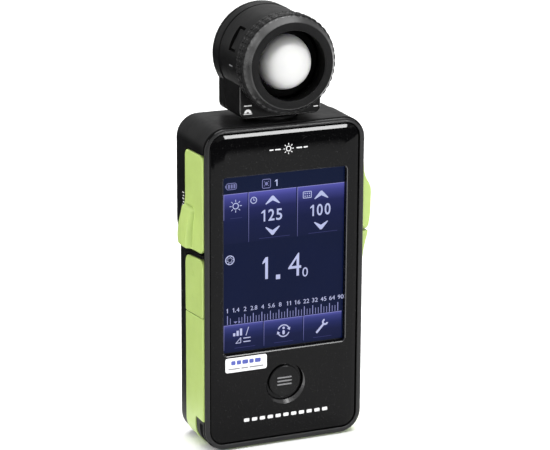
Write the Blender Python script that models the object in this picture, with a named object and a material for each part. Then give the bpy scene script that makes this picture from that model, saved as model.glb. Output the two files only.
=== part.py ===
"""Handheld light meter with a swivelling incident head.

A flat touch-screen body carries a turning head with a white diffuser dome.
Frame: +X is the user's right when the screen is read, -Y is the way the screen
and the dome face, +Z is up.  The origin is on the flat base, under the middle
of the body.  All lengths below are in millimetres and are scaled to metres
when a mesh is made.
"""

import math

import bmesh
import bpy
from mathutils import Matrix, Vector

MM = 0.001

# ---------------------------------------------------------------- dimensions
BODY_HALF = 27.45          # half width of the casing
BODY_H = 105.8             # height of the casing
CORNER_R = 7.6             # casing corner radius, seen from the front
FRONT_Y = -13.0            # front face of the bezel and of the glossy panel
FRAME_SEAM_Y = -12.2       # bezel to middle housing
REAR_SEAM_Y = 3.55         # middle housing to rear cover
BACK_LOW_Y = 9.2           # back of the thin lower half
BACK_UP_Y = 12.4           # back of the thick upper half
STEP_Z0, STEP_Z1 = 64.0, 72.0
GAP = 0.3                  # clearance between touching pieces
WINDOW = (-21.0, 21.1, 31.8, 90.0)   # opening of the glossy panel: x0, x1, z0, z1
MENU_X, MENU_Z = 0.3, 20.8
HEAD_Z = 124.6             # axis of the dome and of the head barrel
SWIVEL_Y = 0.6             # swivel axis of the head
BARREL_R = 15.4
BLOCK_HALF = 13.65
BLOCK_Z0 = 106.9
DOME_R = 8.6
DOME_Y = -10.4             # centre of the dome when it is extended
DOME_TRAVEL = 5.0
CELL_R, CELL_LEN = 5.25, 44.5   # AAA cell
ROUND = 32                 # sides of a round piece


# ---------------------------------------------------------------- scene setup
for old in list(bpy.data.objects):
    bpy.data.objects.remove(old, do_unlink=True)


def material(name, rgb, rough=0.5, metal=0.0):
    m = bpy.data.materials.get(name)
    if m is None:
        m = bpy.data.materials.new(name)
        m.use_nodes = True
        b = m.node_tree.nodes["Principled BSDF"]
        b.inputs["Base Color"].default_value = (*rgb, 1.0)
        b.inputs["Roughness"].default_value = rough
        b.inputs["Metallic"].default_value = metal
        m.diffuse_color = (*rgb, 1.0)
    return m


BLACK = material("black_casing", (0.035, 0.035, 0.037), 0.5)
GLOSS = material("gloss_panel", (0.010, 0.010, 0.011), 0.08)
GREEN = material("green_grip", (0.47, 0.61, 0.19), 0.45)
HEADB = material("head_black", (0.028, 0.028, 0.030), 0.5)
WHITE = material("diffuser_white", (0.86, 0.86, 0.85), 0.45)
SCREEN = material("screen_navy", (0.008, 0.014, 0.06), 0.1)
PAPER = material("label_white", (0.85, 0.85, 0.86), 0.6)
BOARD = material("circuit_board", (0.02, 0.16, 0.06), 0.5)
CHIP = material("chip_black", (0.02, 0.02, 0.02), 0.4)
STEEL = material("steel", (0.55, 0.55, 0.56), 0.3, 1.0)
BRASS = material("brass", (0.7, 0.52, 0.22), 0.3, 1.0)
CELL = material("cell_sleeve", (0.35, 0.37, 0.40), 0.35, 0.3)
TRAY = material("tray_grey", (0.10, 0.10, 0.105), 0.6)
SENSOR = material("sensor_glass", (0.05, 0.12, 0.12), 0.1)
SOFT = material("soft_black", (0.02, 0.02, 0.021), 0.75)


def pivot(name, at):
    e = bpy.data.objects.new(name, None)
    e.location = Vector(at) * MM
    bpy.context.scene.collection.objects.link(e)
    return e


def finish(name, bm, mat, origin=(0, 0, 0), parent=None, smooth=None, cutter=False):
    """Turns a bmesh made in world millimetres into an object with its origin at origin."""
    bmesh.ops.recalc_face_normals(bm, faces=bm.faces)
    o = Vector(origin)
    for v in bm.verts:
        v.co = (v.co - o) * MM
    me = bpy.data.meshes.new(name)
    bm.to_mesh(me)
    bm.free()
    if smooth is not None:
        me.shade_smooth()
        me.set_sharp_from_angle(angle=math.radians(smooth))
    ob = bpy.data.objects.new(name, me)
    bpy.context.scene.collection.objects.link(ob)
    if mat is not None:
        me.materials.append(mat)
    world = Matrix.Translation(o * MM)
    if parent is not None:
        ob.parent = parent
        ob.matrix_parent_inverse = Matrix.Identity(4)
        ob.location = o * MM - parent.location
    else:
        ob.matrix_world = world
    if cutter:
        ob.hide_render = True
        ob.display_type = "WIRE"
    return ob


def boolean(ob, other, op="DIFFERENCE"):
    m = ob.modifiers.new(op.lower() + "_" + other.name, "BOOLEAN")
    m.operation = op
    m.solver = "EXACT"
    m.object = other
    return m


# ---------------------------------------------------------------- shape tools
def rounded(x0, x1, z0, z1, r, n=5, marks=()):
    """Rounded rectangle in the XZ plane, counter-clockwise from the lower right corner."""
    pts = []
    for cx, cz, a0 in ((x1 - r, z0 + r, -90), (x1 - r, z1 - r, 0), (x0 + r, z1 - r, 90), (x0 + r, z0 + r, 180)):
        for i in range(n + 1):
            a = math.radians(a0 + 90.0 * i / n)
            pts.append((cx + r * math.cos(a), cz + r * math.sin(a)))
        if a0 == 0 and marks:
            pass
        if a0 == -90:
            for z in marks:
                pts.append((x1, z))
        if a0 == 90:
            for z in reversed(marks):
                pts.append((x0, z))
    return pts


def outline(inset=0.0, n=5, marks=()):
    return rounded(-BODY_HALF + inset, BODY_HALF - inset, inset, BODY_H - inset, max(CORNER_R - inset, 0.4), n, marks)


def skin(bm, rings, closed_u=False, cap0=True, cap1=True, closed_v=True):
    """Joins equal rings of points with quads.  closed_u joins the last ring to the first."""
    vr = [[bm.verts.new(Vector(p)) for p in ring] for ring in rings]
    n = len(vr[0])
    pairs = list(zip(vr, vr[1:]))
    if closed_u:
        pairs.append((vr[-1], vr[0]))
    for a, b in pairs:
        for i in range(n if closed_v else n - 1):
            j = (i + 1) % n
            bm.faces.new((a[i], a[j], b[j], b[i]))
    if not closed_u:
        if cap0:
            bm.faces.new(list(reversed(vr[0])))
        if cap1:
            bm.faces.new(vr[-1])
    return vr


def at_y(pts, y):
    return [(x, y, z) for x, z in pts]


def plate(name, loops, mat, **kw):
    """A solid through a list of (outline points, y)."""
    bm = bmesh.new()
    skin(bm, [at_y(p, y) for p, y in loops])
    return finish(name, bm, mat, **kw)


def frame_ring(name, loops, mat, **kw):
    bm = bmesh.new()
    skin(bm, [at_y(p, y) for p, y in loops], closed_u=True)
    return finish(name, bm, mat, **kw)


def block(name, x0, x1, y0, y1, z0, z1, mat, bevel=0.0, seg=2, turn=None, **kw):
    bm = bmesh.new()
    bmesh.ops.create_cube(bm, size=1.0)
    c = Vector(((x0 + x1) / 2, (y0 + y1) / 2, (z0 + z1) / 2))
    for v in bm.verts:
        v.co = Vector((v.co.x * (x1 - x0), v.co.y * (y1 - y0), v.co.z * (z1 - z0)))
    if bevel:
        bmesh.ops.bevel(bm, geom=list(bm.edges), offset=bevel, segments=seg, profile=0.5, affect="EDGES")
    if turn is not None:
        for v in bm.verts:
            v.co = turn @ v.co
    for v in bm.verts:
        v.co += c
    return finish(name, bm, mat, **kw)


def turned(name, profile, mat, centre, axis="Y", n=ROUND, closed=True, phase=0.0, **kw):
    """Spins a (radius, height) profile about an axis through centre.  A radius of 0 is a pole."""
    bm = bmesh.new()
    cx, cy, cz = centre

    def place(r, t, a):
        u, v = r * math.cos(a), r * math.sin(a)
        if axis == "Y":
            return (cx + u, cy + t, cz + v)
        if axis == "Z":
            return (cx + u, cy + v, cz + t)
        return (cx + t, cy + u, cz + v)

    rows = []
    for r, t in profile:
        if r == 0:
            rows.append([bm.verts.new(place(0, t, 0))])
        else:
            rows.append([bm.verts.new(place(r, t, phase + 2 * math.pi * i / n)) for i in range(n)])
    pairs = list(zip(rows, rows[1:]))
    if closed:
        pairs.append((rows[-1], rows[0]))
    for a, b in pairs:
        if len(a) == 1 and len(b) == 1:
            continue
        for i in range(n):
            j = (i + 1) % n
            if len(a) == 1:
                bm.faces.new((a[0], b[i], b[j]))
            elif len(b) == 1:
                bm.faces.new((a[i], a[j], b[0]))
            else:
                bm.faces.new((a[i], a[j], b[j], b[i]))
    kw.setdefault("smooth", 35)
    return finish(name, bm, mat, **kw)


def disc(name, r, t0, t1, mat, centre, axis="Y", n=ROUND, edge=0.0, **kw):
    if edge:
        prof = [(0, t0), (r - edge, t0), (r, t0 + edge), (r, t1 - edge), (r - edge, t1), (0, t1)]
    else:
        prof = [(0, t0), (r, t0), (r, t1), (0, t1)]
    return turned(name, prof, mat, centre, axis, n, closed=False, **kw)


def prism(name, pts, x0, x1, mat, **kw):
    """A (y, z) polygon extruded along X."""
    bm = bmesh.new()
    skin(bm, [[(x, y, z) for y, z in pts] for x in (x0, x1)])
    return finish(name, bm, mat, **kw)


def smoothstep(t):
    t = min(max(t, 0.0), 1.0)
    return t * t * (3 - 2 * t)


def ramp(v, table):
    """Straight lines between (v, value) points."""
    if v <= table[0][0]:
        return table[0][1]
    for (a, fa), (b, fb) in zip(table, table[1:]):
        if v <= b:
            return fa + (fb - fa) * (v - a) / (b - a)
    return table[-1][1]


def side_piece(name, side, z0, z1, y0, y1, mat, height, x_in, corner=2.0, slope0=0.0, slope1=0.0,
               columns=6, rows=10, edge=0.35, x_out=BODY_HALF, **kw):
    """A flush or swollen inlay on a side wall: sections stacked up Z, with rounded corners.
    slope0 and slope1 tilt the lower and the upper end, in mm of Z per mm of Y."""
    bm = bmesh.new()
    levels = []
    for i in range(4):
        a = math.radians(90.0 * i / 3)
        levels.append((corner * (1 - math.cos(a)), corner * (1 - math.sin(a))))
    span = z1 - z0
    zs = [(d, ins) for d, ins in levels]
    mid = [(corner + (span - 2 * corner) * k / rows, 0.0) for k in range(1, rows)]
    top = [(span - d, ins) for d, ins in reversed(levels)]
    rings = []
    ym = (y0 + y1) / 2
    for k, (d, ins) in enumerate(zs + mid + top):
        t = d / span
        sl = slope0 * (1 - t) + slope1 * t
        ya, yb = y0 + ins, y1 - ins
        end = 1.0 if 0 < k < len(zs + mid + top) - 1 else 0.0
        outer = []
        for c in range(columns + 1):
            y = ya + (yb - ya) * c / columns
            z = z0 + d + sl * (y - ym)
            x = x_out + height(y, z)
            if c in (0, columns) or not end:
                x -= edge
            outer.append((side * x, y, z))
        inner = [(side * x_in, yb, z0 + d + sl * (yb - ym)), (side * x_in, ya, z0 + d + sl * (ya - ym))]
        rings.append(outer + inner)
    skin(bm, rings)
    return finish(name, bm, mat, **kw)


def u_band(name, top_left, top_right, y0, y1, in0, in1, mat, swell=None, slope_left=0.0, extend=0.0, n=5, r=CORNER_R, **kw):
    """A band that runs down the left side, under the casing and up the right side."""
    ym = (y0 + y1) / 2
    bm = bmesh.new()
    rings = []

    if extend:
        corners = [(in1, y0), (in0, y0), (in0, y1), (in1, y1)]
    else:
        corners = [(in1, y0), (in0 + 0.35, y0), (in0, y0 + 0.35), (in0, y1 - 0.35), (in0 + 0.35, y1), (in1, y1)]

    def section(point, normal, lift, tilt):
        (px, pz), (nx, nz) = point, normal
        ring = []
        for inset, y in corners:
            k = lift if inset < in1 else 0.0
            ring.append((px + nx * (k - inset), y, pz + nz * (k - inset) + tilt * (y - ym)))
        return ring

    for z in (top_left, top_left - 6.0, 30.0, 18.0):
        rings.append(section((-BODY_HALF, z), (-1, 0), 0.0, slope_left * (1.0 if z == top_left else 0.0)))
    for i in range(n + 1):
        a = math.radians(180 + 90.0 * i / n)
        nx, nz = math.cos(a), math.sin(a)
        rings.append(section((-BODY_HALF + r + r * nx, r + r * nz), (nx, nz), 0.0, 0.0))
    for i in range(n + 1):
        a = math.radians(270 + 90.0 * i / n)
        nx, nz = math.cos(a), math.sin(a)
        rings.append(section((BODY_HALF - r + r * nx, r + r * nz), (nx, nz), 0.0, 0.0))
    zs = [18.0, 35.0, 52.0, 58.0]
    steps = [61.0 + (top_right - 61.0) * k / 5 for k in range(6)]
    for z in zs + steps:
        lift = swell(z) if swell else 0.0
        rings.append(section((BODY_HALF, z), (1, 0), lift, 0.0))
    skin(bm, rings)
    return finish(name, bm, mat, **kw)


# ================================================================ front
front_frame = frame_ring("front_frame", [
    (outline(0.0), FRAME_SEAM_Y),
    (outline(0.0), -12.4),
    (outline(0.28), -12.82),
    (outline(0.9), FRONT_Y),
    (rounded(-25.65, 25.65, 1.95, 104.3, 5.2), FRONT_Y),
    (rounded(-25.4, 25.4, 2.2, 104.05, 4.95), -12.8),
    (rounded(-25.4, 25.4, 2.2, 104.05, 4.95), -11.4),
    (rounded(-23.4, 23.4, 4.15, 102.1, 3.0), -11.4),
    (rounded(-23.4, 23.4, 4.15, 102.1, 3.0), -10.4),
    (rounded(-25.95, 25.95, 1.55, 104.5, 6.0), -10.4),
    (rounded(-25.95, 25.95, 1.55, 104.5, 6.0), FRAME_SEAM_Y),
], BLACK, smooth=40)

P0 = (-25.05, 25.05, 2.55, 103.7)


def panel_outline(inset):
    return rounded(P0[0] + inset, P0[1] - inset, P0[2] + inset, P0[3] - inset, 4.45 - inset * 0.6, 6)


front_panel = plate("front_panel", [
    (panel_outline(0.0), -11.7),
    (panel_outline(0.0), -12.35),
    (panel_outline(0.22), -12.62),
    (panel_outline(1.0), -12.84),
    (panel_outline(2.6), FRONT_Y),
], GLOSS, smooth=40)
wx0, wx1, wz0, wz1 = WINDOW
cut_window = plate("cut_window", [(rounded(wx0, wx1, wz0, wz1, 1.4, 4), -10.8), (rounded(wx0, wx1, wz0, wz1, 1.4, 4), -12.75),
                                  (rounded(wx0 - .5, wx1 + .5, wz0 - .5, wz1 + .5, 1.9, 4), -13.3)], None, cutter=True)
boolean(front_panel, cut_window)
cut_menu = turned("cut_menu", [(0, -10.9), (5.8, -10.9), (5.8, -12.3), (6.45, -13.0), (6.7, -13.4), (0, -13.4)], None,
                  (MENU_X, 0, MENU_Z), n=40, closed=False, cutter=True)
boolean(front_panel, cut_menu)

touch_panel = plate("touch_panel", [(rounded(-23.0, 23.0, 29.2, 92.4, 1.0, 2), -10.7), (rounded(-23.0, 23.0, 29.2, 92.4, 1.0, 2), -11.35)],
                    SCREEN)
lcd_cell = block("lcd_cell", -22.6, 22.6, -10.1, -9.3, 29.6, 92.0, SCREEN)
lcd_backlight = block("lcd_backlight", -22.4, 22.4, -9.0, -8.0, 29.4, 92.2, PAPER)
front_label = plate("front_label", [(rounded(-20.3, -6.2, 26.3, 31.1, 0.7, 3), -13.12), (rounded(-20.3, -6.2, 26.3, 31.1, 0.7, 3), -13.3)], PAPER)

# ================================================================ middle housing
mid_housing = frame_ring("mid_housing", [
    (outline(0.0), -11.9),
    (outline(0.0), 3.25),
    (rounded(-24.85, 24.85, 2.6, 103.4, 5.0), 3.25),
    (rounded(-24.85, 24.85, 2.6, 103.4, 5.0), -10.1),
    (rounded(-26.25, 26.25, 1.25, 104.8, 6.0), -10.1),
    (rounded(-26.25, 26.25, 1.25, 104.8, 6.0), -11.9),
], BLACK, smooth=40)

SIDE_Y0, SIDE_Y1 = -11.9, 3.25


def wedge(y, z):
    """Thumb rest of the measuring button."""
    up = smoothstep((82.0 - z) / 14.0)
    across = ramp(y, [(-11.9, 0.0), (-8.5, 0.42), (-4.4, 0.86), (-1.0, 1.0), (1.6, 1.0), (3.25, 0.8)])
    return 2.75 * up * across


def bulge(y, z):
    """Raised key of the memory button."""
    up = ramp(z, [(67.9, 2.1), (69.5, 2.7), (73.5, 3.4), (81.0, 3.6), (82.6, 3.2), (84.9, 1.2), (87.0, 0.35), (91.0, 0.0)])
    across = ramp(y, [(-11.9, 0.72), (-10.0, 1.0), (-2.0, 1.0), (1.5, 0.8), (3.25, 0.55)])
    return up * across


def flat(y, z):
    return 0.0


def swell(z):
    return ramp(z, [(61.0, 0.0), (64.0, 0.55), (67.5, 1.35)])


measuring_button = side_piece("measuring_button", -1, 65.2, 97.0, SIDE_Y0, SIDE_Y1, GREEN, wedge, 26.45, corner=2.2,
                              slope0=-0.06, slope1=-0.05, columns=7, rows=13, origin=(-27.45, -4.3, 81.0), smooth=50)
memory_button = side_piece("memory_button", 1, 68.0, 97.0, SIDE_Y0, SIDE_Y1, GREEN, bulge, 26.45, corner=2.0,
                           columns=6, rows=13, origin=(27.45, -4.3, 81.0), smooth=50)
connector_cover = side_piece("connector_cover", -1, 44.2, 62.9, SIDE_Y0 + 0.15, SIDE_Y1, GREEN, flat, 26.25, corner=1.2,
                             slope0=-0.09, slope1=-0.17, columns=3, rows=4, origin=(-27.45, SIDE_Y0 + 0.15, 53.6), smooth=50)
lower_grip = u_band("lower_grip", 43.5, 67.4, SIDE_Y0, SIDE_Y1, 0.0, 1.2, GREEN, swell=swell, slope_left=-0.09, smooth=50)

for nm, side, z0, z1, sl0, sl1, floor in (
        ("cut_left_upper", -1, 64.9, 97.3, -0.06, -0.05, 25.6),
        ("cut_right_upper", 1, 67.7, 97.3, 0.0, 0.0, 25.6),
        ("cut_left_flap", -1, 43.0, 63.2, 0.0, -0.17, 25.95)):
    c = side_piece(nm, side, z0, z1, SIDE_Y0 - 1.0, SIDE_Y1 + 1.0, None, flat, floor, corner=1.0, slope0=sl0, slope1=sl1,
                   columns=2, rows=2, edge=0.0, x_out=31.5, cutter=True)
    boolean(mid_housing, c)
cut_u = u_band("cut_lower_grip", 43.9, 67.75, SIDE_Y0 - 1.0, SIDE_Y1 + 1.0, -3.0, 1.5, None, extend=1.0, n=7, r=7.35, cutter=True)
boolean(mid_housing, cut_u)

# bosses for the casing screws
SCREWS = [(-21.9, 9.5, "lower_left"), (21.9, 9.5, "lower_right"), (-21.9, 97.4, "upper_left"), (21.9, 97.4, "upper_right")]
for sx, sz, nm in SCREWS:
    boolean(mid_housing, block("boss_" + nm, min(sx - 2.6 * math.copysign(1, sx), sx + 3.4 * math.copysign(1, sx)),
                               max(sx - 2.6 * math.copysign(1, sx), sx + 3.4 * math.copysign(1, sx)),
                               -4.9, 3.0, sz - 2.7, sz + 2.7, None, cutter=True), "UNION")
for sx, sz, nm in SCREWS:
    boolean(mid_housing, disc("boss_hole_" + nm, 1.3, -4.0, 4.5, None, (sx, 0, sz), n=14, cutter=True))
# swivel seat on top, shaft hole, connector holes, eyelet pocket
boolean(mid_housing, disc("cut_swivel_seat", 9.1, 105.0, 107.0, None, (0, SWIVEL_Y, 0), axis="Z", cutter=True))
boolean(mid_housing, disc("cut_shaft_hole", 4.3, 101.0, 106.0, None, (0, SWIVEL_Y, 0), axis="Z", cutter=True))
boolean(mid_housing, disc("cut_sync_hole", 3.5, -27.0, -24.0, None, (0, -2.9, 57.3), axis="X", n=24, cutter=True))
boolean(mid_housing, block("cut_usb_hole", -27.0, -24.0, -5.6, -1.2, 44.9, 52.9, None, bevel=0.4, seg=1, cutter=True))

# strap eyelet in the lower left corner
EY0, EY1 = -11.7, -5.5


def corner_block(name, z_top, x_in, y0, y1, grow, mat, **kw):
    """Block that fills the lower left casing corner out to the casing outline."""
    rr = CORNER_R - 0.25 + grow
    pts = [(-BODY_HALF + 0.25 - grow, z_top + grow)]
    for i in range(7):
        a = math.radians(180 + 90.0 * i / 6)
        pts.append((-BODY_HALF + CORNER_R + rr * math.cos(a), CORNER_R + rr * math.sin(a)))
    pts.append((x_in + grow, 0.25 - grow))
    pts.append((x_in + grow, z_top + grow))
    return plate(name, [(pts, y0 - grow), (pts, y1 + grow)], mat, **kw)


strap_eyelet = corner_block("strap_eyelet", 10.2, -19.0, EY0, EY1, 0.0, SOFT)
boolean(strap_eyelet, plate("cut_eyelet_face", [(rounded(-25.45, 25.45, 2.15, 104.1, 4.85), -13.5), (rounded(-25.45, 25.45, 2.15, 104.1, 4.85), -11.35)],
                            None, cutter=True))
boolean(strap_eyelet, block("cut_strap_slot", -11.0, 11.0, -1.3, 1.3, -1.7, 1.7, None,
                            turn=Matrix.Rotation(math.radians(45), 3, "Y"), cutter=True))
bpy.data.objects["cut_strap_slot"].location = Vector((-24.6, -9.7, 4.3)) * MM
boolean(front_frame, corner_block("cut_frame_corner", 10.2, -19.0, EY0, -8.0, 0.3, None, cutter=True))
boolean(mid_housing, corner_block("cut_eyelet", 10.2, -19.0, -12.6, EY1, 0.3, None, cutter=True))
boolean(lower_grip, block("cut_eyelet_grip", -31.0, -18.7, -13.0, EY1 + 0.3, -2.0, 10.5, None, cutter=True))

# ================================================================ rear cover
MARKS = (STEP_Z0, STEP_Z1)


def depth(z):
    return ramp(z, [(STEP_Z0, BACK_LOW_Y), (STEP_Z1, BACK_UP_Y)])


def cover_rings(bm, base, steps, y_start, inward):
    """Rings of the stepped back; returns the verts of the last ring."""
    rings = [at_y(outline(base, 5, MARKS), y_start)]
    for inset, drop in steps:
        rings.append([(x, depth(z) - drop, z) for x, z in outline(base + inset, 5, MARKS)])
    vr = [[bm.verts.new(Vector(p)) for p in ring] for ring in rings]
    n = len(vr[0])
    for a, b in zip(vr, vr[1:]):
        for i in range(n):
            j = (i + 1) % n
            bm.faces.new((a[i], a[j], b[j], b[i]))
    last = vr[-1]
    # the two marked points on each side split the back into low, slope and high faces
    rlo, rhi = 6, 7
    llo, lhi = n - 7, n - 8
    bm.faces.new(last[llo:] + last[:rlo + 1])
    bm.faces.new([last[llo], last[rlo], last[rhi], last[lhi]])
    bm.faces.new(last[rhi:lhi + 1])
    return vr[0]


bm = bmesh.new()
outer0 = cover_rings(bm, 0.0, [(0.0, 1.3), (0.35, 0.42), (1.25, 0.0)], REAR_SEAM_Y, False)
inner0 = cover_rings(bm, 1.7, [(0.0, 2.3), (0.5, 1.65)], REAR_SEAM_Y, True)
for i in range(len(outer0)):
    j = (i + 1) % len(outer0)
    bm.faces.new((outer0[i], outer0[j], inner0[j], inner0[i]))
rear_cover = finish("rear_cover", bm, BLACK, smooth=40)
boolean(rear_cover, bpy.data.objects["cut_swivel_seat"])
boolean(rear_cover, bpy.data.objects["cut_shaft_hole"])
DOOR_X, DOOR_TOP = 13.0, 57.0
boolean(rear_cover, block("cut_door", -DOOR_X - GAP, DOOR_X + GAP, 6.0, 11.0, -2.0, DOOR_TOP + GAP, None, cutter=True))
SOCKET_Z = 80.0
boolean(rear_cover, disc("cut_socket", 4.9, 10.0, 13.0, None, (0, 0, SOCKET_Z), n=28, cutter=True))
POWER_X, POWER_Z = 14.5, 93.5
boolean(rear_cover, disc("cut_power", 3.5, 10.0, 13.0, None, (POWER_X, 0, POWER_Z), n=28, cutter=True))
for sx, sz, nm in SCREWS:
    d = depth(sz)
    boolean(rear_cover, turned("cover_hole_" + nm, [(0, d - 3.0), (1.3, d - 3.0), (1.3, d - 1.0), (2.3, d - 1.0), (2.3, d + 1.0), (0, d + 1.0)],
                               None, (sx, 0, sz), n=16, closed=False, cutter=True))
    turned("casing_screw_" + nm, [(0, -3.2), (1.0, -3.2), (1.0, d - 0.72), (1.95, d - 0.72), (1.95, d - 0.12), (1.1, d - 0.08), (0.7, d - 0.4), (0, d - 0.4)],
           STEEL, (sx, 0, sz), n=12, closed=False)

# battery door slides down off the back
battery_door = prism("battery_door", [(6.3, 0.0), (7.9, 0.0), (8.78, 0.36), (9.2, 1.25), (9.2, DOOR_TOP), (7.75, DOOR_TOP), (7.75, 1.6), (6.3, 1.6)],
                     -DOOR_X, DOOR_X, BLACK, origin=(0, 9.2, 28.0))
for k in range(4):
    boolean(battery_door, block("cut_rib_%d" % k, -5.5, 5.5, 8.75, 9.6, 46.0 + 2.0 * k, 46.9 + 2.0 * k, None, cutter=True))

# ================================================================ battery bay
tray_outer = block("battery_tray", -14.4, 14.4, -4.9, 7.1, 3.3, 55.6, TRAY)
boolean(tray_outer, block("cut_tray", -12.7, 12.7, -3.7, 8.0, 4.4, 54.4, None, cutter=True))
CELL_Y = 2.0


def cell(name, x, z0, up):
    nub = 1.4
    body = CELL_LEN - nub
    if up:
        prof = [(0, z0), (4.6, z0), (CELL_R, z0 + 0.5), (CELL_R, z0 + body - 0.5), (4.6, z0 + body), (1.9, z0 + body), (1.9, z0 + CELL_LEN), (0, z0 + CELL_LEN)]
    else:
        z1 = z0 + CELL_LEN
        prof = [(0, z0), (1.9, z0), (1.9, z0 + nub), (4.6, z0 + nub), (CELL_R, z0 + nub + 0.5), (CELL_R, z1 - 0.5), (4.6, z1), (0, z1)]
    return turned(name, prof, CELL, (x, CELL_Y, 0), axis="Z", n=24, closed=False)


cell("battery_cell_left", -5.9, 8.6, True)
cell("battery_cell_right", 5.9, 5.5, False)
block("battery_contact_bridge", -11.5, 11.5, -2.0, 5.6, 53.55, 54.05, STEEL)
block("battery_contact_plus", 1.2, 11.5, -2.0, 5.6, 4.7, 5.2, STEEL)


def spring(name, x, z0, z1, turns=3.2, r0=3.6, r1=2.6, wire=0.3, steps=34):
    bm = bmesh.new()
    rings = []
    for i in range(steps + 1):
        t = i / steps
        a = 2 * math.pi * turns * t
        r = r0 + (r1 - r0) * t
        p = Vector((x + r * math.cos(a), CELL_Y + r * math.sin(a), z0 + wire + (z1 - z0 - 2 * wire) * t))
        radial = Vector((math.cos(a), math.sin(a), 0))
        ring = []
        for k in range(5):
            b = 2 * math.pi * k / 5
            ring.append(p + radial * (wire * math.cos(b)) + Vector((0, 0, wire * math.sin(b))))
        rings.append(ring)
    skin(bm, rings)
    return finish(name, bm, STEEL, smooth=60)


spring("battery_spring_left", -5.9, 4.7, 8.3)
spring("battery_spring_right", 5.9, 50.3, 53.25)

# ================================================================ electronics
main_board = plate("main_board", [(rounded(-23.6, 23.6, 11.0, 99.0, 2.0, 2), -7.4), (rounded(-23.6, 23.6, 11.0, 99.0, 2.0, 2), -6.4)], BOARD)
block("processor", -7.0, 7.0, -6.1, -4.9, 84.0, 97.0, CHIP)
block("radio_module", -17.0, 3.0, -6.1, -3.6, 59.5, 80.5, STEEL, bevel=0.5, seg=1)
block("menu_switch", MENU_X - 2.2, MENU_X + 2.2, -8.2, -7.7, MENU_Z - 2.2, MENU_Z + 2.2, CHIP)
block("measuring_switch", -24.0, -20.5, -2.6, 1.2, 69.0, 74.0, CHIP)
block("memory_switch", 20.5, 24.0, -2.6, 1.2, 73.0, 78.0, CHIP)
block("power_switch", POWER_X - 2.6, POWER_X + 2.6, 6.0, 8.2, POWER_Z - 2.6, POWER_Z + 2.6, CHIP)
sync_socket = turned("sync_socket", [(0, -17.0), (3.2, -17.0), (3.2, -25.9), (2.3, -25.9), (2.3, -19.2), (0, -19.2)], STEEL,
                     (0, -2.9, 57.3), axis="X", n=24, closed=False)
usb_connector = block("usb_connector", -25.8, -17.5, -5.3, -1.5, 45.2, 52.6, STEEL)
boolean(usb_connector, block("cut_usb", -27.0, -19.0, -4.7, -2.1, 45.9, 51.9, None, cutter=True))

# ================================================================ keys
menu_button = turned("menu_button", [(0, -12.35), (3.6, -12.42), (4.9, -12.5), (5.3, -12.3), (5.3, -11.4), (6.7, -11.4), (6.7, -10.8), (1.6, -10.8), (1.6, -8.7), (0, -8.7)],
                     GLOSS, (MENU_X, 0, MENU_Z), n=36, closed=False, origin=(MENU_X, -12.4, MENU_Z))
power_button = turned("power_button", [(0, 8.7), (1.5, 8.7), (1.5, 9.9), (4.3, 9.9), (4.3, 10.4), (3.1, 10.4), (3.1, 12.7), (2.7, 13.0), (0, 13.05)],
                      GREEN, (POWER_X, 0, POWER_Z), n=28, closed=False, origin=(POWER_X, 12.4, POWER_Z))
tripod_socket = turned("tripod_socket", [(3.2, 5.6), (4.6, 5.6), (4.6, 12.35), (3.5, 12.35), (3.2, 12.0)], BRASS, (0, 0, SOCKET_Z), n=28)

# ================================================================ head
head_pivot = pivot("head_pivot", (0, SWIVEL_Y, BODY_H))
AXIS = (0, SWIVEL_Y, BODY_H)
turned("swivel_base", [(4.6, 105.3), (8.8, 105.3), (8.8, 106.35), (8.55, 106.6), (4.6, 106.6)], HEADB, (0, SWIVEL_Y, 0), axis="Z", n=40)
turned("swivel_shaft", [(3.0, 99.6), (4.0, 99.6), (4.0, 108.9), (6.4, 108.9), (6.4, 109.9), (3.0, 109.9)], STEEL, (0, SWIVEL_Y, 0), axis="Z", n=28,
       origin=AXIS, parent=head_pivot)
turned("swivel_retainer", [(4.3, 101.4), (7.2, 101.4), (7.2, 102.5), (4.3, 102.5)], STEEL, (0, SWIVEL_Y, 0), axis="Z", n=28,
       origin=AXIS, parent=head_pivot)


def block_profile(inset=0.0, z_top=HEAD_Z):
    h = BLOCK_HALF - inset
    z0 = BLOCK_Z0 + inset
    c = 2.3
    pts = [(h, z_top)]
    pts += [(-h, z_top)]
    for i in range(4):
        a = math.radians(180 + 90.0 * i / 3)
        pts.append((-h + c + c * math.cos(a), z0 + c + c * math.sin(a)))
    for i in range(4):
        a = math.radians(270 + 90.0 * i / 3)
        pts.append((h - c + c * math.cos(a), z0 + c + c * math.sin(a)))
    return pts


HC = (0, 0, HEAD_Z)
HEAD_SEAM = 4.4
head_front = disc("head_front_shell", BARREL_R, -9.9, HEAD_SEAM - 0.15, HEADB, HC, n=48, edge=0.2, origin=AXIS, parent=head_pivot)
boolean(head_front, plate("neck_front", [(block_profile(), -8.5), (block_profile(), HEAD_SEAM - 0.15)], None, cutter=True), "UNION")
boolean(head_front, disc("bore_front", 13.6, -11.0, 6.0, None, HC, n=40, cutter=True))
boolean(head_front, plate("pocket_front", [(rounded(-11.8, 11.8, 108.6, 121.0, 0.8, 1), -6.9), (rounded(-11.8, 11.8, 108.6, 121.0, 0.8, 1), 6.0)], None, cutter=True))
boolean(head_front, disc("shaft_front", 4.3, 105.0, 110.0, None, (0, SWIVEL_Y, 0), axis="Z", n=28, cutter=True))
head_rear = turned("head_rear_shell", [(0, HEAD_SEAM + 0.15), (15.35, HEAD_SEAM + 0.15), (15.6, HEAD_SEAM + 0.4), (15.6, 9.2), (15.2, 9.95), (14.4, 10.2), (0, 10.2)],
                   HEADB, HC, n=48, closed=False, origin=AXIS, parent=head_pivot)
boolean(head_rear, plate("neck_rear", [(block_profile(), HEAD_SEAM + 0.15), (block_profile(), 9.0), (block_profile(0.7), 9.7)], None, cutter=True), "UNION")
boolean(head_rear, disc("bore_rear", 13.6, 3.0, 8.6, None, HC, n=40, cutter=True))
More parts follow.
